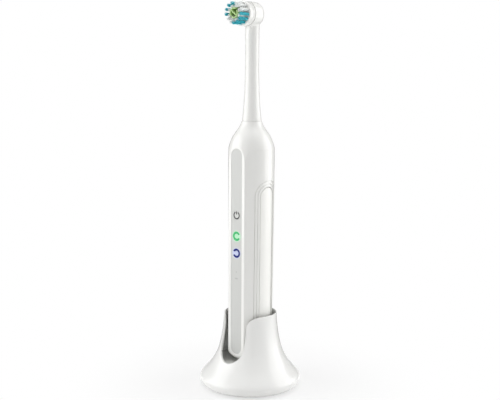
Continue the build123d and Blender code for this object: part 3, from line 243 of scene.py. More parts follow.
class Nodes:
    """Small builder of a node tree."""

    def __init__(self, tree):
        self.nodes = tree.nodes
        self.links = tree.links

    def node(self, kind, **inputs):
        """Add a node with some of its input values."""
        made = self.nodes.new(kind)
        for socket, value in inputs.items():
            made.inputs[socket.replace("_", " ")].default_value = value
        return made

    def link(self, source, target):
        """Join an output to an input."""
        self.links.new(source, target)

    def feed(self, target, value):
        """Join an output to an input, or set the input to a plain value."""
        if isinstance(value, bpy.types.NodeSocket):
            self.link(value, target)
        else:
            target.default_value = value

    def maths(self, operation, first, second=0.0):
        """Result of a Math node on outputs or numbers."""
        made = self.nodes.new("ShaderNodeMath")
        made.operation = operation
        self.feed(made.inputs[0], first)
        self.feed(made.inputs[1], second)
        return made.outputs[0]

    def seen(self):
        """One for rays from the camera, mirrors and glass, nought for the rays that light the object."""
        rays = self.nodes.new("ShaderNodeLightPath").outputs
        mirrored = self.maths("MAXIMUM", rays["Is Glossy Ray"], rays["Is Transmission Ray"])
        return self.maths("MAXIMUM", rays["Is Camera Ray"], mirrored)


class Finish(Nodes):
    """Small builder of one node material around a Principled shader."""

    def __init__(self, name, **sockets):
        self.material = bpy.data.materials.new(name)
        self.material.use_nodes = True
        super().__init__(self.material.node_tree)
        self.shader = self.nodes["Principled BSDF"]
        for socket, value in sockets.items():
            self.set(socket.replace("_", " "), value)

    def set(self, socket, value):
        """Set one constant on the shader's own socket."""
        colour = isinstance(value, (tuple, list)) or hasattr(value, "hsv")
        self.shader.inputs[socket].default_value = (*value[:3], 1) if colour else value

    def mix(self, factor, first, second):
        """Blend of two colours."""
        made = self.nodes.new("ShaderNodeMix")
        made.data_type = "RGBA"
        self.feed(made.inputs["Factor"], factor)
        self.feed(made.inputs["A"], first)
        self.feed(made.inputs["B"], second)
        return made.outputs["Result"]

    def reach(self, stretch=(1, 1, 1)):
        """Distance from the origin in millimetres, along the axes whose stretch isn't nought."""
        made = self.nodes.new("ShaderNodeVectorMath")
        made.operation = "LENGTH"
        self.link(self.place(stretch), made.inputs[0])
        return made.outputs["Value"]

    def place(self, stretch=(1, 1, 1)):
        """Object coordinates in millimetres, stretched along the three axes."""
        coordinates = self.nodes.new("ShaderNodeTexCoord")
        mapping = self.node("ShaderNodeMapping", Scale=tuple(s / MM for s in stretch))
        self.link(coordinates.outputs["Object"], mapping.inputs["Vector"])
        return mapping.outputs["Vector"]

    def noise(self, scale, detail=3.0, stretch=(1, 1, 1)):
        """Fractal noise whose scale counts per millimetre."""
        made = self.node("ShaderNodeTexNoise", Scale=scale, Detail=detail)
        self.link(self.place(stretch), made.inputs["Vector"])
        return made.outputs["Fac"]

    def roughen(self, factor, low, high):
        """Vary the roughness between two values along a noise."""
        made = self.node(
            "ShaderNodeMapRange", From_Min=NOISE_LOW, From_Max=NOISE_HIGH, To_Min=low, To_Max=high
        )
        self.link(factor, made.inputs["Value"])
        self.link(made.outputs["Result"], self.shader.inputs["Roughness"])

    def tint(self, factor, first, second):
        """Vary the base colour between two colours."""
        made = self.nodes.new("ShaderNodeValToRGB")
        ends = zip(made.color_ramp.elements, (NOISE_LOW, NOISE_HIGH), (first, second))
        for end, position, colour in ends:
            end.position = position
            end.color = (*colour[:3], 1)
        self.link(factor, made.inputs["Fac"])
        self.link(made.outputs["Color"], self.shader.inputs["Base Color"])
        return made.outputs["Color"]

    def bump(self, factor, height):
        """Relief of a given height in millimetres."""
        made = self.node("ShaderNodeBump", Strength=1.0, Distance=height * MM)
        self.link(factor, made.inputs["Height"])
        self.link(made.outputs["Normal"], self.shader.inputs["Normal"])


def near(colour, factor):
    """The same colour, darker or lighter."""
    return tuple(min(1.0, channel * factor) for channel in colour[:3])


def moulded(name, colour, rough, grain=0.004, coat=0.0):
    """Injection-moulded plastic: faint flow marks, fine surface grain, uneven gloss."""
    finish = Finish(name, IOR=1.49, Coat_Weight=coat, Coat_Roughness=0.08)
    finish.tint(finish.noise(0.05, detail=2.0, stretch=(1, 1, 0.35)), near(colour, 0.985), near(colour, 1.01))
    finish.roughen(finish.noise(0.22, detail=4.0), rough * 0.85, rough * 1.2)
    finish.bump(finish.noise(3.5, detail=2.0), height=grain)
    return finish


def metal(name, colour, rough, stretch):
    """Drawn or turned metal with fine lines along one axis."""
    finish = Finish(name, Metallic=1.0)
    lines = finish.noise(2.2, detail=3.0, stretch=stretch)
    finish.tint(lines, near(colour, 0.86), near(colour, 1.06))
    finish.roughen(lines, rough * 0.8, rough * 1.3)
    finish.bump(lines, height=0.01)
    return finish


def rubbery(name, colour):
    """Dull rubber with a powdery grain."""
    finish = Finish(name, Specular_IOR_Level=0.35)
    finish.tint(finish.noise(0.8, detail=4.0), near(colour, 0.8), near(colour, 1.25))
    finish.roughen(finish.noise(1.6, detail=3.0), 0.62, 0.86)
    finish.bump(finish.noise(6.0, detail=2.0), height=0.02)
    return finish


def wound(name, colour, pitch):
    """Varnished wire wound in level turns."""
    finish = Finish(name, Metallic=0.85)
    # A wave texture repeats every pi / (10 * scale)
    turns = finish.node("ShaderNodeTexWave", Scale=math.pi / (10 * pitch), Distortion=0.4)
    turns.bands_direction = "Z"
    finish.link(finish.place(), turns.inputs["Vector"])
    # Painted shade: the tint darkens between the turns
    finish.tint(turns.outputs["Fac"], near(colour, 0.45), near(colour, 1.1))
    finish.roughen(turns.outputs["Fac"], 0.5, 0.25)
    finish.bump(turns.outputs["Fac"], height=0.12)
    return finish


def board(name, colour):
    """Solder-masked board with faint tracks."""
    finish = Finish(name, Coat_Weight=0.4, Coat_Roughness=0.2)
    tracks = finish.node("ShaderNodeTexBrick", Scale=0.35, Mortar_Size=0.03)
    tracks.inputs["Color1"].default_value = (*near(colour, 0.9), 1)
    tracks.inputs["Color2"].default_value = (*near(colour, 1.15), 1)
    tracks.inputs["Mortar"].default_value = (*near(colour, 1.7), 1)
    finish.link(finish.place(), tracks.inputs["Vector"])
    finish.link(tracks.outputs["Color"], finish.shader.inputs["Base Color"])
    finish.roughen(finish.noise(0.6), 0.3, 0.45)
    finish.bump(tracks.outputs["Fac"], height=0.02)
    return finish


def lens(name, colour, glow):
    """Light guide, lit from behind."""
    finish = Finish(name, Emission_Strength=glow, Emission_Color=colour, IOR=1.35)
    finish.tint(finish.noise(0.9), near(colour, 0.92), near(colour, 1.05))
    finish.roughen(finish.noise(1.3), 0.22, 0.34)
    return finish


def filament(name, colour, glow):
    """Nylon bristles with a faint painted glow, each strand lighter towards its tip by painted shade at its
    root.
    """
    finish = Finish(name, IOR=1.53, Sheen_Weight=0.2, Emission_Color=colour, Emission_Strength=glow)
    along = finish.nodes.new("ShaderNodeAttribute")
    along.attribute_name = "tip"
    # Painted shade: each strand darker towards its root
    finish.tint(along.outputs["Fac"], near(colour, 0.92), near(colour, 1.04))
    finish.roughen(finish.noise(2.0), 0.38, 0.55)
    return finish


def glowing_strip(name, colour, lights):
    """Satin strip that carries a soft painted halo of light round each lit ring."""
    finish = Finish(name, IOR=1.47, Coat_Weight=0.15, Coat_Roughness=0.2)
    finish.roughen(finish.noise(0.3, detail=4.0), 0.34, 0.46)
    finish.bump(finish.noise(5.0, detail=2.0), height=0.003)
    brushed = finish.noise(1.6, detail=2.0, stretch=(1, 1, 0.02))
    plain = finish.tint(brushed, near(colour, 0.985), near(colour, 1.01))
    glow = (0, 0, 0, 1)
    for centre, light in lights:
        coordinates = finish.nodes.new("ShaderNodeTexCoord")
        gap = finish.nodes.new("ShaderNodeVectorMath")
        gap.operation = "DISTANCE"
        gap.inputs[1].default_value = centre
        finish.link(coordinates.outputs["Object"], gap.inputs[0])
        fade = finish.node(
            "ShaderNodeMapRange",
            From_Min=HALO_CORE * MM,
            From_Max=HALO_EDGE * MM,
            To_Min=HALO_SHARE,
            To_Max=0.0,
        )
        fade.interpolation_type = "SMOOTHSTEP"
        finish.link(gap.outputs["Value"], fade.inputs["Value"])
        plain = finish.mix(fade.outputs["Result"], plain, (*light[:3], 1))
        glow = finish.mix(fade.outputs["Result"], glow, (*light[:3], 1))
    finish.link(plain, finish.shader.inputs["Base Color"])
    finish.link(glow, finish.shader.inputs["Emission Color"])
    finish.set("Emission Strength", HALO_GLOW)
    return finish


def elastomer(name, colour, root, tip):
    """Soft wall with painted shade: dark in the depth and lighter from its root to its tip, given in
    millimetres.
    """
    finish = Finish(name, IOR=1.43)
    split = finish.nodes.new("ShaderNodeSeparateXYZ")
    finish.link(finish.place(), split.inputs[0])
    depth = finish.node("ShaderNodeMapRange", From_Min=root, From_Max=tip)
    finish.link(split.outputs["Y"], depth.inputs["Value"])
    # Painted shade: darker towards the root
    finish.tint(depth.outputs["Result"], near(colour, WING_ROOT_PAINTED_SHADE), colour)
    finish.roughen(finish.noise(1.2), 0.4, 0.55)
    finish.bump(finish.noise(4.0, detail=2.0), height=0.01)
    return finish


def paint_inside_shade(finish):
    """Paint shade on the inner face of the charger's bell, darker towards its rim."""
    base = finish.shader.inputs["Base Color"]
    radius, height = finish.reach((1, 1, 0)), finish.reach((0, 0, 1))
    depth = finish.maths("SUBTRACT", BELL_TOP, height)
    growth = finish.maths("MULTIPLY", BELL_GROWTH, finish.maths("MULTIPLY", depth, depth))
    inside = finish.maths("LESS_THAN", radius, finish.maths("ADD", BELL_RADIUS, growth))
    rise = finish.node(
        "ShaderNodeMapRange", From_Min=INSIDE_FROM, From_Max=INSIDE_TO, To_Min=0.0, To_Max=INSIDE_SHADE_SHARE
    )
    finish.link(height, rise.inputs["Value"])
    share = finish.maths("MULTIPLY", inside, rise.outputs["Result"])
    # Painted shade: the inner face is mixed towards dark grey
    finish.link(finish.mix(share, base.links[0].from_socket, (*shade(*INSIDE_SHADE), 1)), base)


def dress(finish, *nodes):
    """Give a material to CAD nodes, all of their slots."""
    for name in nodes:
        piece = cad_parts[name]
        piece.data.materials.clear()
        piece.data.materials.append(finish.material)


# Pieces


def finish_piece(shape, name, material, body, replaced=None, smooth=False):
    """Turn a bmesh in millimetres into a finished piece that rides on a body."""
    bmesh.ops.recalc_face_normals(shape, faces=shape.faces)
    bmesh.ops.scale(shape, vec=(MM, MM, MM), verts=shape.verts)
    for face in shape.faces:
        face.smooth = smooth
    mesh = bpy.data.meshes.new(name)
    shape.to_mesh(mesh)
    shape.free()
    if smooth:
        mesh.set_sharp_from_angle(angle=SHARP_ANGLE)
    mesh.materials.append(material)
    piece = bpy.data.objects.new(name, mesh)
    bpy.context.scene.collection.objects.link(piece)
    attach(piece, body)
    if replaced:
        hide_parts(replaced)


def bake(piece):
    """Replace a piece's mesh with what its modifiers make, and drop the modifiers."""
    graph = bpy.context.evaluated_depsgraph_get()
    made = bpy.data.meshes.new_from_object(piece.evaluated_get(graph))
    piece.modifiers.clear()
    old, piece.data = piece.data, made
    bpy.data.meshes.remove(old)


class TOOTHBRUSH_OT_casing(bpy.types.Operator):
    """Gloss and satin plastics of the handle, charger and brush plate"""

    bl_idname = "toothbrush.casing"
    bl_label = "Casing finishes"

    def execute(self, context):
        colours = context.scene.toothbrush_colours
        gloss = moulded("gloss_white", colours.casing, rough=0.2, grain=0.002, coat=0.25)
        dress(gloss, "handle_shell", "charging_deck", "end_cap", "bristle_plate", "brush_stem")
        # Painted light: the bell's white is made a little lighter than the casing's
        thin = moulded("gloss_white_thin", near(colours.casing, 1.01), rough=0.2, grain=0.002, coat=0.25)
        thin.set("Subsurface Weight", SHELL_SHARE)
        thin.set("Subsurface Scale", SHELL_WAY * MM)
        thin.shader.inputs["Subsurface Radius"].default_value = (1, 1, 1)
        # Painted shade inside the bell, darker towards its rim
        paint_inside_shade(thin)
        dress(thin, "base_shell")
        satin = moulded("grip_satin", colours.grip, rough=0.36, grain=0.008)
        dress(satin, "side_grip_left", "side_grip_right")
        lights = [(GREEN_RING, colours.green_halo), (BLUE_RING, colours.blue_halo)]
        strip = glowing_strip("strip_satin", colours.strip, lights)
        dress(strip, "front_strip", "power_button")
        dress(moulded("status_lens", near(colours.strip, 0.82), rough=0.3), "status_light")
        return {"FINISHED"}


class TOOTHBRUSH_OT_works(bpy.types.Operator):
    """Finishes of the works inside the handle, head and charger"""

    bl_idname = "toothbrush.works"
    bl_label = "Inner finishes"

    def execute(self, context):
        grey = moulded("inner_grey", shade(92, 95, 99), rough=0.5, grain=0.02)
        dress(grey, "chassis", "base_plate", "board_standoffs", "drive_rod")
        dress(rubbery("dark_rubber", shade(52, 52, 54)), "ring_foot", "shaft_seal", "cap_seal")
        dress(board("board_green", shade(28, 104, 62)), "main_board", "charger_board")
        chips = moulded("chip_black", shade(38, 38, 41), rough=0.45, grain=0.01)
        dress(chips, "charger_chips", "board_chips", "push_switch")
        dress(lens("diode_white", shade(236, 232, 214), glow=0.1), "light_diodes")
        steel = metal("turned_steel", shade(196, 198, 202), rough=0.25, stretch=(0.15, 0.15, 3.0))
        dress(steel, "drive_shaft", "armature", "motor_can", "head_axle", "base_screws")
        drawn = metal("drawn_steel", shade(204, 205, 208), rough=0.22, stretch=(0.2, 2.0, 0.2))
        dress(drawn, "power_socket", "battery_tabs")
        copper = wound("copper_fine", shade(190, 112, 62), pitch=0.32)
        dress(copper, "motor_coil", "primary_coil", "receiving_coil")
        sleeve = moulded("battery_sleeve", shade(64, 104, 150), rough=0.28, grain=0.006, coat=0.3)
        dress(sleeve, "battery")
        dress(rubbery("ferrite", shade(70, 70, 73)), "ferrite_core", "magnets")
        bronze = metal("bearing_bronze", shade(176, 138, 84), rough=0.42, stretch=(1, 1, 1))
        dress(bronze, "lower_bearing", "upper_bearing")
        return {"FINISHED"}


def tuft_tree():
    """Geometry Nodes: tufts of tapering filaments on a circle in the plate's plane."""
    tree = bpy.data.node_groups.new("tuft_ring", "GeometryNodeTree")
    inputs = (
        ("Count", "NodeSocketInt"),
        ("Circle", "NodeSocketFloat"),
        ("First Angle", "NodeSocketFloat"),
        ("Kept", "NodeSocketInt"),
        ("Tuft Radius", "NodeSocketFloat"),
        ("Strands", "NodeSocketInt"),
        ("Length", "NodeSocketFloat"),
        ("Strand Radius", "NodeSocketFloat"),
        ("Splay", "NodeSocketFloat"),
        ("Seed", "NodeSocketInt"),
        ("Centre", "NodeSocketVector"),
        ("Material", "NodeSocketMaterial"),
    )
    for name, kind in inputs:
        tree.interface.new_socket(name, in_out="INPUT", socket_type=kind)
    tree.interface.new_socket("Geometry", in_out="OUTPUT", socket_type="NodeSocketGeometry")
    build = Nodes(tree)
    nodes, link, feed, maths = build.nodes, build.link, build.feed, build.maths
    source = nodes.new("NodeGroupInput").outputs
    result = nodes.new("NodeGroupOutput")

    def add(kind, **settings):
        made = nodes.new(kind)
        for key, value in settings.items():
            setattr(made, key, value)
        return made

    def vector(x=0.0, y=0.0, z=0.0):
        made = add("ShaderNodeCombineXYZ")
        for socket, value in zip(made.inputs, (x, y, z)):
            feed(socket, value)
        return made.outputs[0]

    index = add("GeometryNodeInputIndex").outputs[0]
    # Tuft centres, one for each set bit of Kept
    points = add("GeometryNodePoints")
    feed(points.inputs["Count"], source["Count"])
    bit = maths("FLOOR", maths("DIVIDE", source["Kept"], maths("POWER", 2.0, index)))
    odd = maths("MODULO", bit, 2.0)
    step = maths("DIVIDE", 2 * math.pi, source["Count"])
    angle = maths("ADD", source["First Angle"], maths("MULTIPLY", index, step))
    spot = vector(
        maths("MULTIPLY", source["Circle"], maths("COSINE", angle)),
        0.0,
        maths("MULTIPLY", source["Circle"], maths("SINE", angle)),
    )
    feed(points.inputs["Position"], spot)
    dropped = add("GeometryNodeDeleteGeometry", domain="POINT")
    link(points.outputs[0], dropped.inputs["Geometry"])
    feed(dropped.inputs["Selection"], maths("LESS_THAN", odd, 0.5))
    # Roots of one tuft on a sunflower spiral
    roots = add("GeometryNodePoints")
    feed(roots.inputs["Count"], source["Strands"])
    share = maths("SQRT", maths("DIVIDE", maths("ADD", index, 0.5), source["Strands"]))
    reach = maths("MULTIPLY", source["Tuft Radius"], share)
    spin = maths("MULTIPLY", index, GOLDEN_ANGLE)
    root = vector(
        maths("MULTIPLY", reach, maths("COSINE", spin)),
        0.0,
        maths("MULTIPLY", reach, maths("SINE", spin)),
    )
    feed(roots.inputs["Position"], root)
    tufts = add("GeometryNodeInstanceOnPoints")
    link(dropped.outputs[0], tufts.inputs["Points"])
    link(roots.outputs[0], tufts.inputs["Instance"])
    spread = add("GeometryNodeRealizeInstances")
    link(tufts.outputs[0], spread.inputs[0])
    # One tapering filament that stands on its root and points to -Y
    strand = add("GeometryNodeMeshCone")
    feed(strand.inputs["Vertices"], STRAND_SIDES)
    feed(strand.inputs["Side Segments"], STRAND_PARTS)
    feed(strand.inputs["Radius Bottom"], source["Strand Radius"])
    feed(strand.inputs["Radius Top"], maths("MULTIPLY", source["Strand Radius"], STRAND_TAPER))
    feed(strand.inputs["Depth"], source["Length"])
    # How far along the strand a point is, which the filament's painted shade towards its root reads
    tip = add("GeometryNodeStoreNamedAttribute", data_type="FLOAT", domain="POINT")
    link(strand.outputs["Mesh"], tip.inputs["Geometry"])
    feed(tip.inputs["Name"], "tip")
    height = add("ShaderNodeSeparateXYZ")
    link(add("GeometryNodeInputPosition").outputs[0], height.inputs[0])
    feed(tip.inputs["Value"], maths("DIVIDE", height.outputs["Z"], source["Length"]))
    # A slight lean and an uneven trim for every strand
    lean = add("FunctionNodeRandomValue", data_type="FLOAT_VECTOR")
    feed(lean.inputs["Min"], vector(-1.0, 0.0, -1.0))
    feed(lean.inputs["Max"], vector(1.0, 0.0, 1.0))
    feed(lean.inputs["Seed"], source["Seed"])
    tilt = add("ShaderNodeVectorMath", operation="SCALE")
    link(lean.outputs[0], tilt.inputs[0])
    feed(tilt.inputs["Scale"], source["Splay"])
    aimed = add("ShaderNodeVectorMath", operation="ADD")
    link(tilt.outputs[0], aimed.inputs[0])
    aimed.inputs[1].default_value = (math.pi / 2, 0, 0)
    grown = add("GeometryNodeInstanceOnPoints")
    link(spread.outputs[0], grown.inputs["Points"])
    link(tip.outputs[0], grown.inputs["Instance"])
    link(aimed.outputs[0], grown.inputs["Rotation"])
    trim = add("FunctionNodeRandomValue", data_type="FLOAT")
    shortest, longest = (item for item in trim.inputs if item.type == "VALUE" and item.name in ("Min", "Max"))
    feed(shortest, STRAND_TRIM)
    feed(longest, 1.0)
    feed(trim.inputs["Seed"], source["Seed"])
    link(vector(1.0, 1.0, trim.outputs[1]), grown.inputs["Scale"])
    moved = add("GeometryNodeTransform")
    link(grown.outputs[0], moved.inputs["Geometry"])
    link(source["Centre"], moved.inputs["Translation"])
    real = add("GeometryNodeRealizeInstances")
    link(moved.outputs[0], real.inputs[0])
    painted = add("GeometryNodeSetMaterial")
    link(real.outputs[0], painted.inputs["Geometry"])
    link(source["Material"], painted.inputs["Material"])
    link(painted.outputs[0], result.inputs[0])
    return tree


def grow(tree, name, material, values):
    """Run the tuft tree once and keep its result as a plain mesh."""
    piece = bpy.data.objects.new(name, bpy.data.meshes.new(name))
    bpy.context.scene.collection.objects.link(piece)
    modifier = piece.modifiers.new("tufts", "NODES")
    modifier.node_group = tree
    items = tree.interface.items_tree
    sockets = {item.name: item.identifier for item in items if item.in_out == "INPUT"}
    for key, value in {**values, "Material": material}.items():
        modifier[sockets[key]] = value
    piece.update_tag()
    bake(piece)
    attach(piece, "head_plate")
    return piece


class TOOTHBRUSH_OT_bristles(bpy.types.Operator):
    """Teal and white tufts on the swinging plate"""

    bl_idname = "toothbrush.bristles"
    bl_label = "Bristles"

    teal_tufts: bpy.props.BoolVectorProperty(
        name="Teal tufts",
        description="Which outer tufts are teal, counted from the first angle; the others are white",
        size=OUTER_TUFTS,
        default=[n in TEAL_TUFTS for n in range(OUTER_TUFTS)],
    )

    def execute(self, context):
        sizes, colours = context.scene.toothbrush_bristles, context.scene.toothbrush_colours
        tree = tuft_tree()
        teal_bits = sum(1 << n for n, kept in enumerate(self.teal_tufts) if kept)
        white_bits = (1 << sizes.outer_count) - 1 - teal_bits
        inner_bits = (1 << sizes.inner_count) - 1
        # Painted light: both filaments glow a little
        teal = filament("teal_filament", colours.teal, glow=0.08)
        white = filament("white_filament", colours.white, glow=0.05)
        shared = {
            "Tuft Radius": sizes.tuft_radius,
            "Strands": sizes.strands,
            "Strand Radius": sizes.strand_radius,
            "Splay": sizes.splay,
            "Centre": (0.0, -PLATE_FRONT * MM + TUFT_SINK * MM, HEAD_CENTRE * MM),
        }
        outer = {"Count": sizes.outer_count, "Circle": sizes.outer_circle, "First Angle": sizes.first_angle}
        inner = {"Count": sizes.inner_count, "Circle": sizes.inner_circle, "First Angle": INNER_TURN}
        teal_ring = {**shared, **outer, "Kept": teal_bits, "Length": sizes.long_tuft, "Seed": 3}
        white_ring = {**shared, **outer, "Kept": white_bits, "Length": sizes.short_tuft, "Seed": 5}
        inner_ring = {**shared, **inner, "Kept": inner_bits, "Length": sizes.short_tuft, "Seed": 7}
        groups = (
            ("teal_tuft_ring", teal, teal_ring, "teal_bristle", "teal_tufts"),
            ("white_tuft_ring", white, white_ring, "white_bristle", "white_tufts"),
            ("inner_tuft_ring", white, inner_ring, "white_bristle", "inner_tufts"),
        )
        for name, finish, values, slot, node in groups:
            piece = grow(tree, name, finish.material, values)
            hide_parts(node)
        return {"FINISHED"}


def wrap(shape, low, high):
    """Close the strip between two loops of the same length."""
    for n in range(len(low)):
        shape.faces.new((low[n - 1], low[n], high[n], high[n - 1]))


def turned(shape, profile, point, closed=False):
    """Solid of revolution of (radius, along) pairs; point gives the place of a pair at a turn."""
    turns = [2 * math.pi * n / TURNED_SIDES for n in range(TURNED_SIDES)]
    loops = [[shape.verts.new(point(radius, along, turn)) for turn in turns] for radius, along in profile]
    for low, high in zip(loops, loops[1:] + loops[:1] if closed else loops[1:]):
        wrap(shape, low, high)
    if not closed:
        for loop in (loops[0], loops[-1]):
            shape.faces.new(loop)


class TOOTHBRUSH_OT_lip(bpy.types.Operator):
    """Thin white lip under the brush stem, which closes most of the parting line"""

    bl_idname = "toothbrush.lip"
    bl_label = "Stem lip"

    inner: length_prop("Inner radius", "Radius inside the lip", 4.6)
    outer: length_prop("Outer radius", "Radius outside the lip", 5.85)
    drop: length_prop("Drop", "How far the lip hangs below the stem", 0.25)
    sink: length_prop("Sink", "How far the lip goes into the stem", 0.05)

    def execute(self, context):
        low, high = STEM_FOOT - self.drop / MM, STEM_FOOT + self.sink / MM
        inner, outer = self.inner / MM, self.outer / MM
        shape = bmesh.new()
        turned(
            shape,
            [(inner, low), (outer, low), (outer, high), (inner, high)],
            lambda r, z, t: (r * math.cos(t), r * math.sin(t), z),
            closed=True,
        )
        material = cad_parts["brush_stem"].data.materials[0]
        finish_piece(shape, "stem_lip", material, "brush_head")
        return {"FINISHED"}


class TOOTHBRUSH_OT_bed(bpy.types.Operator):
    """Thick white bed on the swinging plate that holds the roots of the tufts"""

    bl_idname = "toothbrush.bed"
    bl_label = "Tuft bed"

    radius: length_prop("Radius", "Radius of the bed", 7.36)
    overlap: length_prop("Overlap", "How far the bed wraps back over the plate", 2.55)
    edge: length_prop("Edge", "Rounding of the front edge", 0.6)

    def execute(self, context):
        radius, edge = self.radius / MM, self.edge / MM
        rear, front = -PLATE_FRONT + self.overlap / MM, -PLATE_FRONT - BED_HEIGHT
        profile = [(radius - EDGE_BREAK, rear), (radius, rear - EDGE_BREAK)]
        for n in range(ROUND_STEPS + 1):
            turn = math.pi / 2 * n / ROUND_STEPS
            profile.append((radius - edge + edge * math.cos(turn), front + edge - edge * math.sin(turn)))
        shape = bmesh.new()
        turned(shape, profile, lambda r, y, t: (r * math.cos(t), y, HEAD_CENTRE + r * math.sin(t)))
        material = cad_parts["bristle_plate"].data.materials[0]
        finish_piece(shape, "tuft_bed", material, "head_plate", smooth=True)
        return {"FINISHED"}


def wall(shape, path, half, root, top):
    """Closed wall along a path in the plate's plane, tapered and rounded towards its tip."""
    layers = []
    for share, short, taper in WING_LEVELS:
        y = root * (1 - share) + top * share + short
        left, right = [], []
        for n, (x, z) in enumerate(path):
            ahead, behind = path[min(n + 1, len(path) - 1)], path[max(n - 1, 0)]
            run = Vector((ahead[0] - behind[0], ahead[1] - behind[1])).normalized()
            aside = half * taper
            left.append(shape.verts.new((x - run.y * aside, y, HEAD_CENTRE + z + run.x * aside)))
            right.append(shape.verts.new((x + run.y * aside, y, HEAD_CENTRE + z - run.x * aside)))
        layers.append(left + right[::-1])
    for low, high in zip(layers, layers[1:]):
        wrap(shape, low, high)
    for layer in (layers[0], layers[-1]):
        for n in range(len(path) - 1):
            shape.faces.new((layer[n], layer[n + 1], layer[-2 - n], layer[-1 - n]))


class TOOTHBRUSH_OT_wings(bpy.types.Operator):
    """Green elastomer wings: two curved walls and a bar across them"""

    bl_idname = "toothbrush.wings"
    bl_label = "Cleaning wings"

    radius: length_prop("Radius", "Radius of the middle of the curved walls", 2.8)
    thickness: length_prop("Thickness", "Thickness of the walls at their root", 1.05)
    height: length_prop("Height", "Free height of the wings", 8.7)

    def execute(self, context):
        radius, half, height = self.radius / MM, self.thickness / MM / 2, self.height / MM
        root, top = -PLATE_FRONT + WING_SINK, -PLATE_FRONT - height
        shape = bmesh.new()
        for start in WING_STARTS:
            turns = [math.radians(start + WING_SPAN * n / WING_STEPS) for n in range(WING_STEPS + 1)]
            path = [(radius * math.cos(turn), radius * math.sin(turn)) for turn in turns]
            wall(shape, path, half, root, top)
        end = BAR_SHARE * radius
        ways = [2 * n / BAR_STEPS for n in range(BAR_STEPS + 1)]
        bar = [(end * (1 - way), end * (way - 1) + half / 2 * math.sin(math.pi * way)) for way in ways]
        wall(shape, bar, half, root, top)
        finish = elastomer("wing_elastomer", context.scene.toothbrush_colours.wing, root - BED_HEIGHT, top)
        finish_piece(
            shape, "cleaning_wings", finish.material, "head_plate", "green_wings", smooth=True
        )
        return {"FINISHED"}


def band(shape, path, height, front, depth):
    """Thin raised band through a list of (inner, outer) places in the handle's flat, at a height."""
    layers = [
        [[shape.verts.new((x, y, height + z)) for x, z in pair] for pair in path]
        for y in (front, front + depth)
    ]
    for n in range(len(path) - 1):
        for layer in layers:
            shape.faces.new((layer[n][0], layer[n][1], layer[n + 1][1], layer[n + 1][0]))
        for side in (0, 1):
            low, high = layers[0][n : n + 2], layers[1][n : n + 2]
            shape.faces.new((low[0][side], low[1][side], high[1][side], high[0][side]))
    for n in (0, -1):
        shape.faces.new((layers[0][n][0], layers[0][n][1], layers[1][n][1], layers[1][n][0]))


def arc(radius, width, gap_at, half_gap):
    """Path of a ring with one gap, for band()."""
    inner, outer = radius - width / 2, radius + width / 2
    span = 2 * math.pi - 2 * half_gap
    turns = [gap_at + half_gap + span * n / ARC_STEPS for n in range(ARC_STEPS + 1)]
    return [[(reach * math.cos(turn), reach * math.sin(turn)) for reach in (inner, outer)] for turn in turns]


class TOOTHBRUSH_OT_power_sign(bpy.types.Operator):
    """Printed ring and dash on the power button"""

    bl_idname = "toothbrush.power_sign"
    bl_label = "Power sign"

    radius: length_prop("Radius", "Radius of the middle of the ring", 2.1)
    width: length_prop("Width", "Width of the printed line", 0.78)
    gap: angle_prop("Gap", "Half of the ring's gap", 27)

    def execute(self, context):
        finish = moulded("sign_print", context.scene.toothbrush_colours.sign, rough=0.5)
        radius, width = self.radius / MM, self.width / MM
        front = -BUTTON_FRONT - PRINT_RISE
        dash = [((-width / 2, z), (width / 2, z)) for z in (DASH_FOOT * radius, DASH_TOP * radius)]
        shape = bmesh.new()
        for path in (arc(radius, width, math.pi / 2, self.gap), dash):
            band(shape, path, BUTTON_HEIGHT, front, PRINT_DEPTH)
        finish_piece(shape, "power_sign", finish.material, "button")
        return {"FINISHED"}


class TOOTHBRUSH_OT_light_rings(bpy.types.Operator):
    """Lit rings of the two modes, each open at one side"""

    bl_idname = "toothbrush.light_rings"
    bl_label = "Light rings"

    radius: length_prop("Radius", "Radius of the middle of a ring", 2.33)
    width: length_prop("Width", "Width of a ring's line", 1.2)
    gap: angle_prop("Gap", "Half of a ring's gap", 27)

    def execute(self, context):
        colours = context.scene.toothbrush_colours
        rings = (
            ("green", lens("green_lens", colours.green_light, glow=0.06), GREEN_RING, 0.0),
            ("blue", lens("blue_lens", colours.blue_light, glow=0.03), BLUE_RING, math.pi),
        )
        for name, finish, centre, gap_at in rings:
            low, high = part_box(f"{name}_light_ring")
            front, rear = low[1] / MM - PRINT_RISE, high[1] / MM
            shape = bmesh.new()
            path = arc(self.radius / MM, self.width / MM, gap_at, self.gap)
            band(shape, path, centre.z / MM, front, rear - front)
            piece, slot, node = f"{name}_ring_lens", f"{name}_lens", f"{name}_light_ring"
            finish_piece(shape, piece, finish.material, "handle", node)
        return {"FINISHED"}


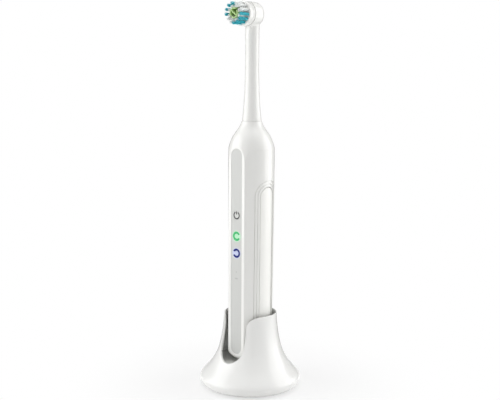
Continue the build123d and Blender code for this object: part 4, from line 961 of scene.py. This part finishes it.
class TOOTHBRUSH_OT_stage(bpy.types.Operator):
    """White studio: floor, even light, lamps at both sides and above, and the photograph's camera"""

    bl_idname = "toothbrush.stage"
    bl_label = "Stage"

    def execute(self, context):
        scene, stage = context.scene, context.scene.toothbrush_stage
        scene.view_settings.view_transform = "Standard"
        self.floor()
        self.world(scene, stage.ambient)
        centre = Vector((0, 0, stage.target))
        level_back = Vector((math.sin(stage.azimuth), -math.cos(stage.azimuth), 0))
        back = level_back * math.cos(stage.elevation) + Vector((0, 0, math.sin(stage.elevation)))
        right = Vector((math.cos(stage.azimuth), math.sin(stage.azimuth), 0))
        self.camera(scene, stage, centre, back, right)
        for name, side in (("lamp_left", -1), ("lamp_right", 1)):
            place = centre + side * (right * SIDE_REACH - level_back * SIDE_LEAN) + Vector((0, 0, SIDE_RISE))
            self.lamp(name, place, centre, SIDE_SIZE, stage.side_power)
        place = centre - level_back * TOP_LEAN + Vector((0, 0, TOP_RISE))
        self.lamp("lamp_top", place, centre, TOP_SIZE, stage.top_power)
        self.cards(stage, right, level_back)
        return {"FINISHED"}

    def camera(self, scene, stage, centre, back, right):
        """Camera fitted to the photograph, with its slight roll."""
        data = bpy.data.cameras.new("camera")
        data.sensor_fit = "HORIZONTAL"
        data.sensor_width = SENSOR_WIDTH
        data.lens = SENSOR_WIDTH * FOCAL_LENGTH / PHOTO_WIDTH
        data.shift_x = SIDE_SHIFT / PHOTO_WIDTH
        data.clip_start = CLIP_START
        camera = bpy.data.objects.new("camera", data)
        scene.collection.objects.link(camera)
        up = back.cross(right)
        across = right * math.cos(stage.roll) + up * math.sin(stage.roll)
        above = up * math.cos(stage.roll) - right * math.sin(stage.roll)
        axes = Matrix((across, above, back)).transposed()
        camera.matrix_world = Matrix.Translation(centre + back * stage.distance) @ axes.to_4x4()
        scene.camera = camera

    def stand(self, name, shape, material):
        """Make a bmesh in metres into a scene object with the given material."""
        mesh = bpy.data.meshes.new(name)
        shape.to_mesh(mesh)
        shape.free()
        mesh.materials.append(material)
        made = bpy.data.objects.new(name, mesh)
        bpy.context.scene.collection.objects.link(made)
        return made

    def floor(self):
        """Pale floor that reads white to the camera and keeps a soft contact shadow."""
        finish = Finish("floor_white", Base_Color=(FLOOR_GREY,) * 3, Roughness=FLOOR_ROUGHNESS)
        fade = finish.node(
            "ShaderNodeMapRange", From_Min=SHADOW_FROM, From_Max=SHADOW_TO, To_Min=SHADOW_WHITE
        )
        fade.interpolation_type = "SMOOTHSTEP"
        finish.link(finish.reach(), fade.inputs["Value"])
        white = finish.nodes.new("ShaderNodeEmission")
        mixed = finish.nodes.new("ShaderNodeMixShader")
        finish.link(finish.maths("MULTIPLY", finish.seen(), fade.outputs["Result"]), mixed.inputs["Fac"])
        finish.link(finish.shader.outputs[0], mixed.inputs[1])
        finish.link(white.outputs[0], mixed.inputs[2])
        finish.link(mixed.outputs[0], finish.nodes["Material Output"].inputs["Surface"])
        shape = bmesh.new()
        bmesh.ops.create_circle(shape, cap_ends=True, segments=FLOOR_SIDES, radius=FLOOR_RADIUS)
        self.stand("floor", shape, finish.material)

    def cards(self, stage, right, level_back):
        """Dark curved cards behind the object, unseen by the camera, that draw its edges."""
        grey = moulded("card_grey", (stage.card,) * 3, rough=0.9).material
        for name, distance, shades in CARDS:
            shape = bmesh.new()
            for side in (-1, 1):
                pairs = []
                for n in range(CARD_STEPS + 1):
                    turn = math.radians(CARD_FROM + (CARD_TO - CARD_FROM) * n / CARD_STEPS)
                    foot = distance * (side * math.sin(turn) * right - math.cos(turn) * level_back)
                    ends = [foot + Vector((0, 0, height)) for height in (CARD_FOOT, CARD_TOP)]
                    pairs.append([shape.verts.new(end) for end in ends])
                for (low, high), (next_low, next_high) in zip(pairs, pairs[1:]):
                    shape.faces.new((low, next_low, next_high, high))
            pair = self.stand(name, shape, grey)
            pair.visible_camera = False
            pair.visible_shadow = False
            pair.visible_diffuse = shades

    def world(self, scene, strength):
        """Even grey light, with plain white behind the object."""
        scene.world = bpy.data.worlds.new("studio")
        scene.world.use_nodes = True
        build = Nodes(scene.world.node_tree)
        even = build.nodes["Background"]
        even.inputs["Color"].default_value = (1, 1, 1, 1)
        even.inputs["Strength"].default_value = strength
        white = build.node("ShaderNodeBackground", Color=(1, 1, 1, 1))
        mixed = build.nodes.new("ShaderNodeMixShader")
        build.link(build.seen(), mixed.inputs["Fac"])
        build.link(even.outputs[0], mixed.inputs[1])
        build.link(white.outputs[0], mixed.inputs[2])
        build.link(mixed.outputs[0], build.nodes["World Output"].inputs["Surface"])

    def lamp(self, name, place, target, size, power):
        """Rectangular soft lamp aimed at the object."""
        data = bpy.data.lights.new(name, "AREA")
        data.shape = "RECTANGLE"
        data.size, data.size_y = size
        data.energy = power
        lamp = bpy.data.objects.new(name, data)
        bpy.context.scene.collection.objects.link(lamp)
        lamp.location = place
        lamp.rotation_euler = (target - place).to_track_quat("-Z", "Y").to_euler()


PIECES = (
    TOOTHBRUSH_OT_casing,
    TOOTHBRUSH_OT_works,
    TOOTHBRUSH_OT_lip,
    TOOTHBRUSH_OT_bed,
    TOOTHBRUSH_OT_bristles,
    TOOTHBRUSH_OT_wings,
    TOOTHBRUSH_OT_power_sign,
    TOOTHBRUSH_OT_light_rings,
    TOOTHBRUSH_OT_stage,
)
GROUPS = {
    "toothbrush_colours": ToothbrushColours,
    "toothbrush_bristles": ToothbrushBristles,
    "toothbrush_stage": ToothbrushStage,
}


class TOOTHBRUSH_PT_panel(bpy.types.Panel):
    """Settings and pieces of the toothbrush"""

    bl_idname = "TOOTHBRUSH_PT_panel"
    bl_label = "Toothbrush"
    bl_space_type = "VIEW_3D"
    bl_region_type = "UI"
    bl_category = "Toothbrush"

    def draw(self, context):
        for name, group in GROUPS.items():
            box = self.layout.box()
            for key in group.__annotations__:
                box.prop(getattr(context.scene, name), key)
        for piece in PIECES:
            self.layout.operator(piece.bl_idname)


def register():
    for made in (*GROUPS.values(), *PIECES, TOOTHBRUSH_PT_panel):
        bpy.utils.register_class(made)
    for name, group in GROUPS.items():
        setattr(bpy.types.Scene, name, bpy.props.PointerProperty(type=group))


def unregister():
    for name in GROUPS:
        delattr(bpy.types.Scene, name)
    for made in (TOOTHBRUSH_PT_panel, *reversed(PIECES), *reversed(GROUPS.values())):
        bpy.utils.unregister_class(made)


def main():
    register()
    for piece in PIECES:
        space, name = piece.bl_idname.split(".")
        getattr(getattr(bpy.ops, space), name)()


if __name__ == "__main__":
    main()
